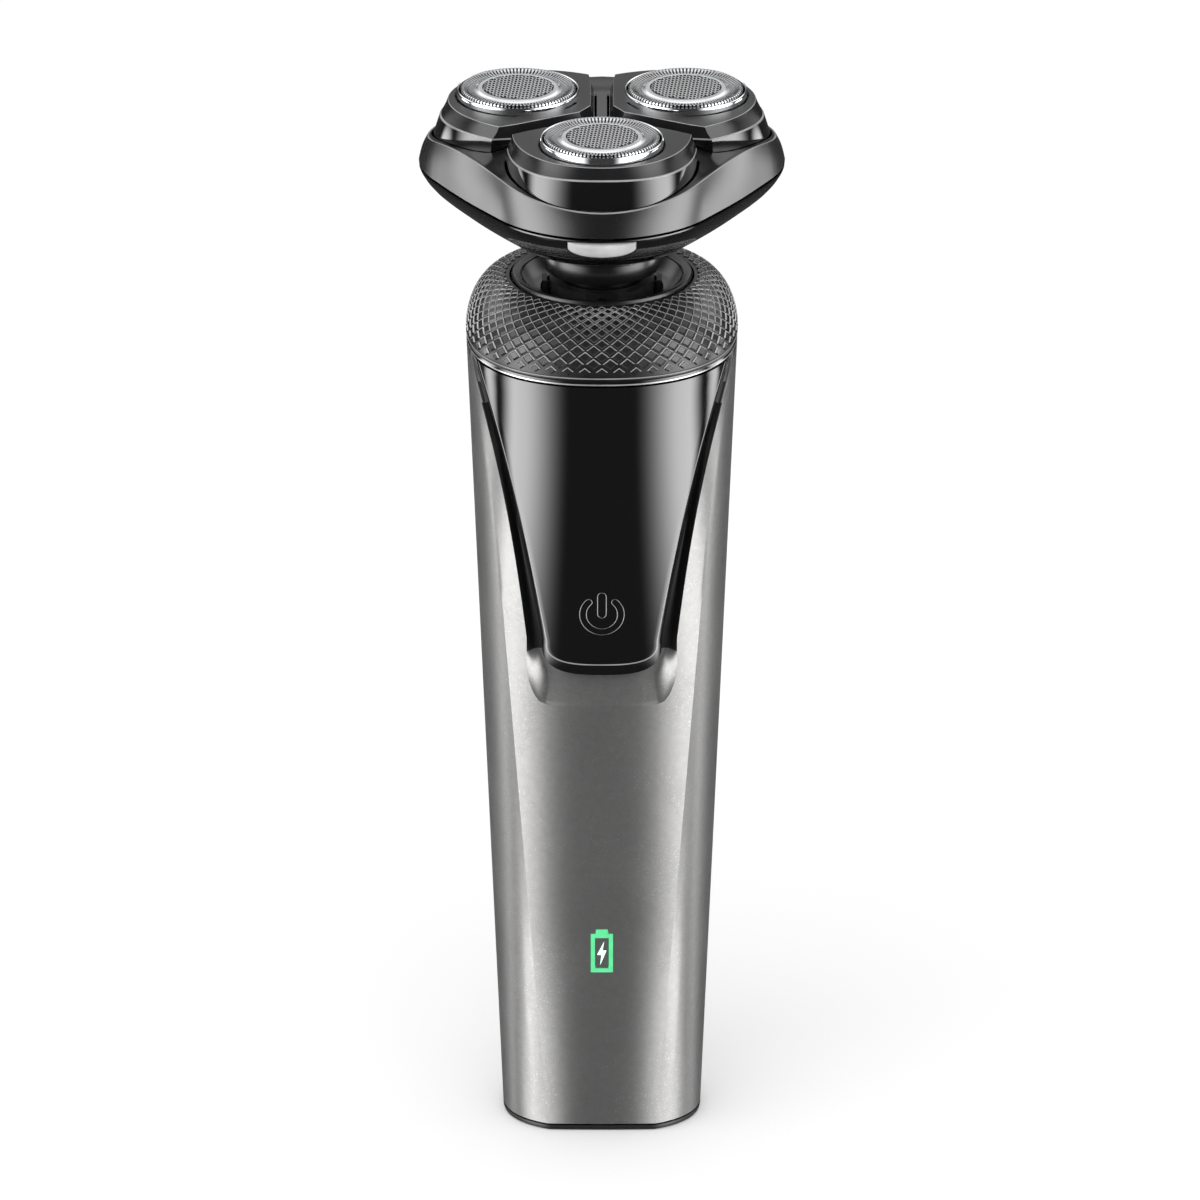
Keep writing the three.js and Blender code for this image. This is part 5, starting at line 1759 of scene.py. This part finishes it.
def studio_world():
    """Even light for the floor and matte surfaces, and soft strips for what mirrors them."""
    world = bpy.data.worlds.new("Studio")
    bpy.context.scene.world = world
    world.use_nodes = True
    world.cycles.sampling_method = "NONE"
    tree = world.node_tree
    tree.nodes.clear()
    s = Shader(tree)
    at = s.add("ShaderNodeTexCoord").outputs["Generated"]
    split = s.add("ShaderNodeSeparateXYZ")
    s.put(split.inputs[0], at)
    x, y, z = split.outputs
    side = s.math("ABSOLUTE", x)
    azimuth = s.math("MULTIPLY", s.math("ARCTAN2", side, s.math("MULTIPLY", y, -1.0)), 180 / math.pi)
    height = s.math("MULTIPLY", s.math("ARCSINE", z), 180 / math.pi)
    strip = s.math("MULTIPLY", s.span(azimuth, 20.0, 68.0), s.span(azimuth, 78.0, 100.0, 1.0, 0.0))
    fade = s.math("MULTIPLY", s.span(height, -64.0, -24.0), s.span(height, 24.0, 62.0, 1.0, 0.0))
    strips = s.math("MULTIPLY", s.math("MULTIPLY", strip, fade), 6.4)

    def patch(turn, rise, wide, strength):
        """A soft round light on each side, at an angle from the front and a rise."""
        a, h = math.radians(turn), math.radians(rise)
        centre = Vector((math.sin(a) * math.cos(h), -math.cos(a) * math.cos(h), math.sin(h)))
        ray = s.add("ShaderNodeCombineXYZ")
        for socket, value in zip(ray.inputs, (side, y, z)):
            s.put(socket, value)
        dot = s.add("ShaderNodeVectorMath", operation="DOT_PRODUCT")
        s.put(dot.inputs[0], ray.outputs[0])
        dot.inputs[1].default_value = centre
        near = s.span(dot.outputs["Value"], math.cos(math.radians(wide)), math.cos(math.radians(wide * 0.2)))
        return s.math("MULTIPLY", near, strength)

    patches = s.math("ADD", patch(115, -15, 15, 4.6), patch(128, 32, 30, 1.6))
    top = s.math("MULTIPLY", s.span(height, 38.0, 76.0), s.span(y, -0.1, 0.6))
    glow = s.math("MULTIPLY", top, 2.2)
    rear = s.math("MULTIPLY", s.span(y, 0.55, 0.95), s.span(height, 2.0, 30.0))
    back = s.math("MULTIPLY", rear, 0.9)
    total = s.math("ADD", s.math("ADD", strips, patches), s.math("ADD", s.math("ADD", glow, back), 0.05))
    seen = s.add("ShaderNodeLightPath")
    mirror, even = s.add("ShaderNodeBackground"), s.add("ShaderNodeBackground")
    s.put(mirror.inputs["Strength"], total)
    mirror.inputs["Color"].default_value = (1.0, 1.0, 1.0, 1)
    even.inputs["Color"].default_value = (1.0, 1.0, 1.0, 1)
    even.inputs["Strength"].default_value = 0.92
    blend = s.add("ShaderNodeMixShader")
    s.put(blend.inputs[0], seen.outputs["Is Glossy Ray"])
    s.put(blend.inputs[1], even.outputs[0])
    s.put(blend.inputs[2], mirror.outputs[0])
    s.put(s.add("ShaderNodeOutputWorld").inputs["Surface"], blend.outputs[0])


def soft_light(name, place, target, size, watts):
    data = bpy.data.lights.new(name, "AREA")
    data.shape = "DISK"
    data.size = size
    data.energy = watts
    light = bpy.data.objects.new(name, data)
    bpy.context.scene.collection.objects.link(light)
    light.location = place
    light.rotation_euler = (Vector(target) - Vector(place)).to_track_quat("-Z", "Y").to_euler()
    light.visible_glossy = False
    return light


CAMERA_TILT = math.radians(21.5)
CAMERA_TARGET = Vector((-0.0003, 0.0, 0.0877))
CAMERA_AWAY = 2.675
CAMERA_LENS = 500


def make_stage():
    """A pale floor, soft light and the camera."""
    bpy.context.scene.view_settings.view_transform = "Standard"
    studio_world()
    mesh = bpy.data.meshes.new("floor")
    reach = 6.0
    corners = [(-reach, -reach, 0), (reach, -reach, 0), (reach, reach, 0), (-reach, reach, 0)]
    mesh.from_pydata(corners, [], [(0, 1, 2, 3)])
    pale = bpy.data.materials.new("Floor")
    pale.use_nodes = True
    put = pale.node_tree.nodes["Principled BSDF"].inputs
    put["Base Color"].default_value = (0.97, 0.97, 0.97, 1)
    put["Roughness"].default_value = 1.0
    put["Specular IOR Level"].default_value = 0.0
    mesh.materials.append(pale)
    floor = bpy.data.objects.new("Floor", mesh)
    bpy.context.scene.collection.objects.link(floor)
    floor.visible_glossy = False
    soft_light("Key", (-0.2, -0.7, 1.1), (0, 0, 0.08), 1.5, 6.0)
    data = bpy.data.cameras.new("Camera")
    data.type = "PERSP"
    data.sensor_width = 36
    data.lens = CAMERA_LENS
    data.clip_end = 20
    camera = bpy.data.objects.new("Camera", data)
    bpy.context.scene.collection.objects.link(camera)
    bpy.context.scene.camera = camera
    back = Vector((0, -math.cos(CAMERA_TILT), math.sin(CAMERA_TILT)))
    camera.location = CAMERA_TARGET + back * CAMERA_AWAY
    camera.rotation_euler = (math.pi / 2 - CAMERA_TILT, 0, 0)


def paint_slots():
    """Gives every node kept from the frame the material of its slot; the gimbal ring is drawn black instead, as
    painted shade in the neck's hollow.
    """
    made = slot_materials()
    black = plain("Gimbal ring painted shade", (0.01, 0.01, 0.011), 0.45)
    slots = {row["node"]: row["material_slot"] for row in frame["record"]["subparts"]}
    for name, thing in frame["nodes"].items():
        if thing.hide_render:
            continue
        # The acetal gimbal ring is drawn black: painted shade in the hollow of the neck.
        wanted = black if name == "gimbal_ring" else made[slots[name]]
        if not thing.material_slots:
            raise RuntimeError(f"{name} has no slot to paint")
        for slot in thing.material_slots:
            slot.material = wanted


# ----------------------------------------------------------------- operators


def run_steps(*steps):
    """Runs building steps for an operator. A step that fails raises."""
    for step in steps:
        step()
    return {"FINISHED"}


def for_each(make):
    """The same step for cutters 1, 2 and 3."""
    return [partial(make, index) for index in (1, 2, 3)]


class SHAVER_OT_casing(bpy.types.Operator):
    """Make the painted casing of the handle"""

    bl_idname = "shaver.casing"
    bl_label = "Casing"

    def execute(self, context):
        return run_steps(make_casing)


class SHAVER_OT_front_panel(bpy.types.Operator):
    """Make the gloss panel with the slots and the pocket of the power key"""

    bl_idname = "shaver.front_panel"
    bl_label = "Front panel"

    def execute(self, context):
        return run_steps(make_panel)


class SHAVER_OT_power_key(bpy.types.Operator):
    """Make the power key"""

    bl_idname = "shaver.power_key"
    bl_label = "Power key"

    def execute(self, context):
        return run_steps(make_key)


class SHAVER_OT_icons(bpy.types.Operator):
    """Make the frame and the bolt of the battery icon"""

    bl_idname = "shaver.icons"
    bl_label = "Battery icon"

    def execute(self, context):
        return run_steps(make_icons)


class SHAVER_OT_base(bpy.types.Operator):
    """Make the base cap"""

    bl_idname = "shaver.base"
    bl_label = "Base cap"

    def execute(self, context):
        return run_steps(make_base)


class SHAVER_OT_collar(bpy.types.Operator):
    """Make the knurled collar"""

    bl_idname = "shaver.collar"
    bl_label = "Grip collar"

    def execute(self, context):
        return run_steps(make_collar)


class SHAVER_OT_rim(bpy.types.Operator):
    """Make the trim between casing and collar"""

    bl_idname = "shaver.rim"
    bl_label = "Rim trim"

    def execute(self, context):
        return run_steps(make_rim)


class SHAVER_OT_neck(bpy.types.Operator):
    """Make the neck ring and the neck stem"""

    bl_idname = "shaver.neck"
    bl_label = "Neck"

    def execute(self, context):
        return run_steps(make_neck)


class SHAVER_OT_lower_bowl(bpy.types.Operator):
    """Make the lower bowl of the head"""

    bl_idname = "shaver.lower_bowl"
    bl_label = "Lower bowl"

    def execute(self, context):
        return run_steps(make_lower_bowl)


class SHAVER_OT_button(bpy.types.Operator):
    """Make the release button"""

    bl_idname = "shaver.button"
    bl_label = "Release button"

    def execute(self, context):
        return run_steps(make_button)


class SHAVER_OT_upper_bowl(bpy.types.Operator):
    """Make the upper bowl, which opens"""

    bl_idname = "shaver.upper_bowl"
    bl_label = "Head cover"

    def execute(self, context):
        return run_steps(make_upper_bowl)


class SHAVER_OT_frames(bpy.types.Operator):
    """Make the three cutter frames"""

    bl_idname = "shaver.frames"
    bl_label = "Cutter frames"

    def execute(self, context):
        return run_steps(*for_each(make_frame))


class SHAVER_OT_rings(bpy.types.Operator):
    """Make the three chrome rings"""

    bl_idname = "shaver.rings"
    bl_label = "Chrome rings"

    def execute(self, context):
        return run_steps(*for_each(make_ring))


class SHAVER_OT_foils(bpy.types.Operator):
    """Make the three foil caps"""

    bl_idname = "shaver.foils"
    bl_label = "Foil caps"

    def execute(self, context):
        return run_steps(*for_each(make_foil))


class SHAVER_OT_finishes(bpy.types.Operator):
    """Paint the pieces kept from the frame"""

    bl_idname = "shaver.finishes"
    bl_label = "Finishes"

    def execute(self, context):
        return run_steps(paint_slots)


class SHAVER_OT_stage(bpy.types.Operator):
    """Set up the floor, the light and the camera"""

    bl_idname = "shaver.stage"
    bl_label = "Stage"

    def execute(self, context):
        return run_steps(make_stage)


class SHAVER_PT_panel(bpy.types.Panel):
    """Sizes, colours and building steps of the shaver"""

    bl_label = "Shaver"
    bl_idname = "SHAVER_PT_panel"
    bl_space_type = "VIEW_3D"
    bl_region_type = "UI"
    bl_category = "Shaver"

    def draw(self, context):
        layout = self.layout
        for settings in (context.scene.shaver_sizes, context.scene.shaver_colours):
            box = layout.box()
            for name in settings.__annotations__:
                box.prop(settings, name)
        for step in STEPS:
            layout.operator(step.bl_idname)


STEPS = (
    SHAVER_OT_casing,
    SHAVER_OT_front_panel,
    SHAVER_OT_power_key,
    SHAVER_OT_icons,
    SHAVER_OT_base,
    SHAVER_OT_collar,
    SHAVER_OT_rim,
    SHAVER_OT_neck,
    SHAVER_OT_lower_bowl,
    SHAVER_OT_button,
    SHAVER_OT_upper_bowl,
    SHAVER_OT_frames,
    SHAVER_OT_rings,
    SHAVER_OT_foils,
    SHAVER_OT_finishes,
    SHAVER_OT_stage,
)
CLASSES = (ShaverSizes, ShaverColours, *STEPS, SHAVER_PT_panel)


def register():
    for kind in CLASSES:
        bpy.utils.register_class(kind)
    bpy.types.Scene.shaver_sizes = PointerProperty(type=ShaverSizes)
    bpy.types.Scene.shaver_colours = PointerProperty(type=ShaverColours)


def unregister():
    del bpy.types.Scene.shaver_colours
    del bpy.types.Scene.shaver_sizes
    for kind in reversed(CLASSES):
        bpy.utils.unregister_class(kind)


def main():
    register()
    bpy.ops.shaver.casing()
    bpy.ops.shaver.front_panel()
    bpy.ops.shaver.power_key()
    bpy.ops.shaver.icons()
    bpy.ops.shaver.base()
    bpy.ops.shaver.collar()
    bpy.ops.shaver.rim()
    bpy.ops.shaver.neck()
    bpy.ops.shaver.lower_bowl()
    bpy.ops.shaver.button()
    bpy.ops.shaver.upper_bowl()
    bpy.ops.shaver.frames()
    bpy.ops.shaver.rings()
    bpy.ops.shaver.foils()
    bpy.ops.shaver.finishes()
    bpy.ops.shaver.stage()


if __name__ == "__main__":
    main()
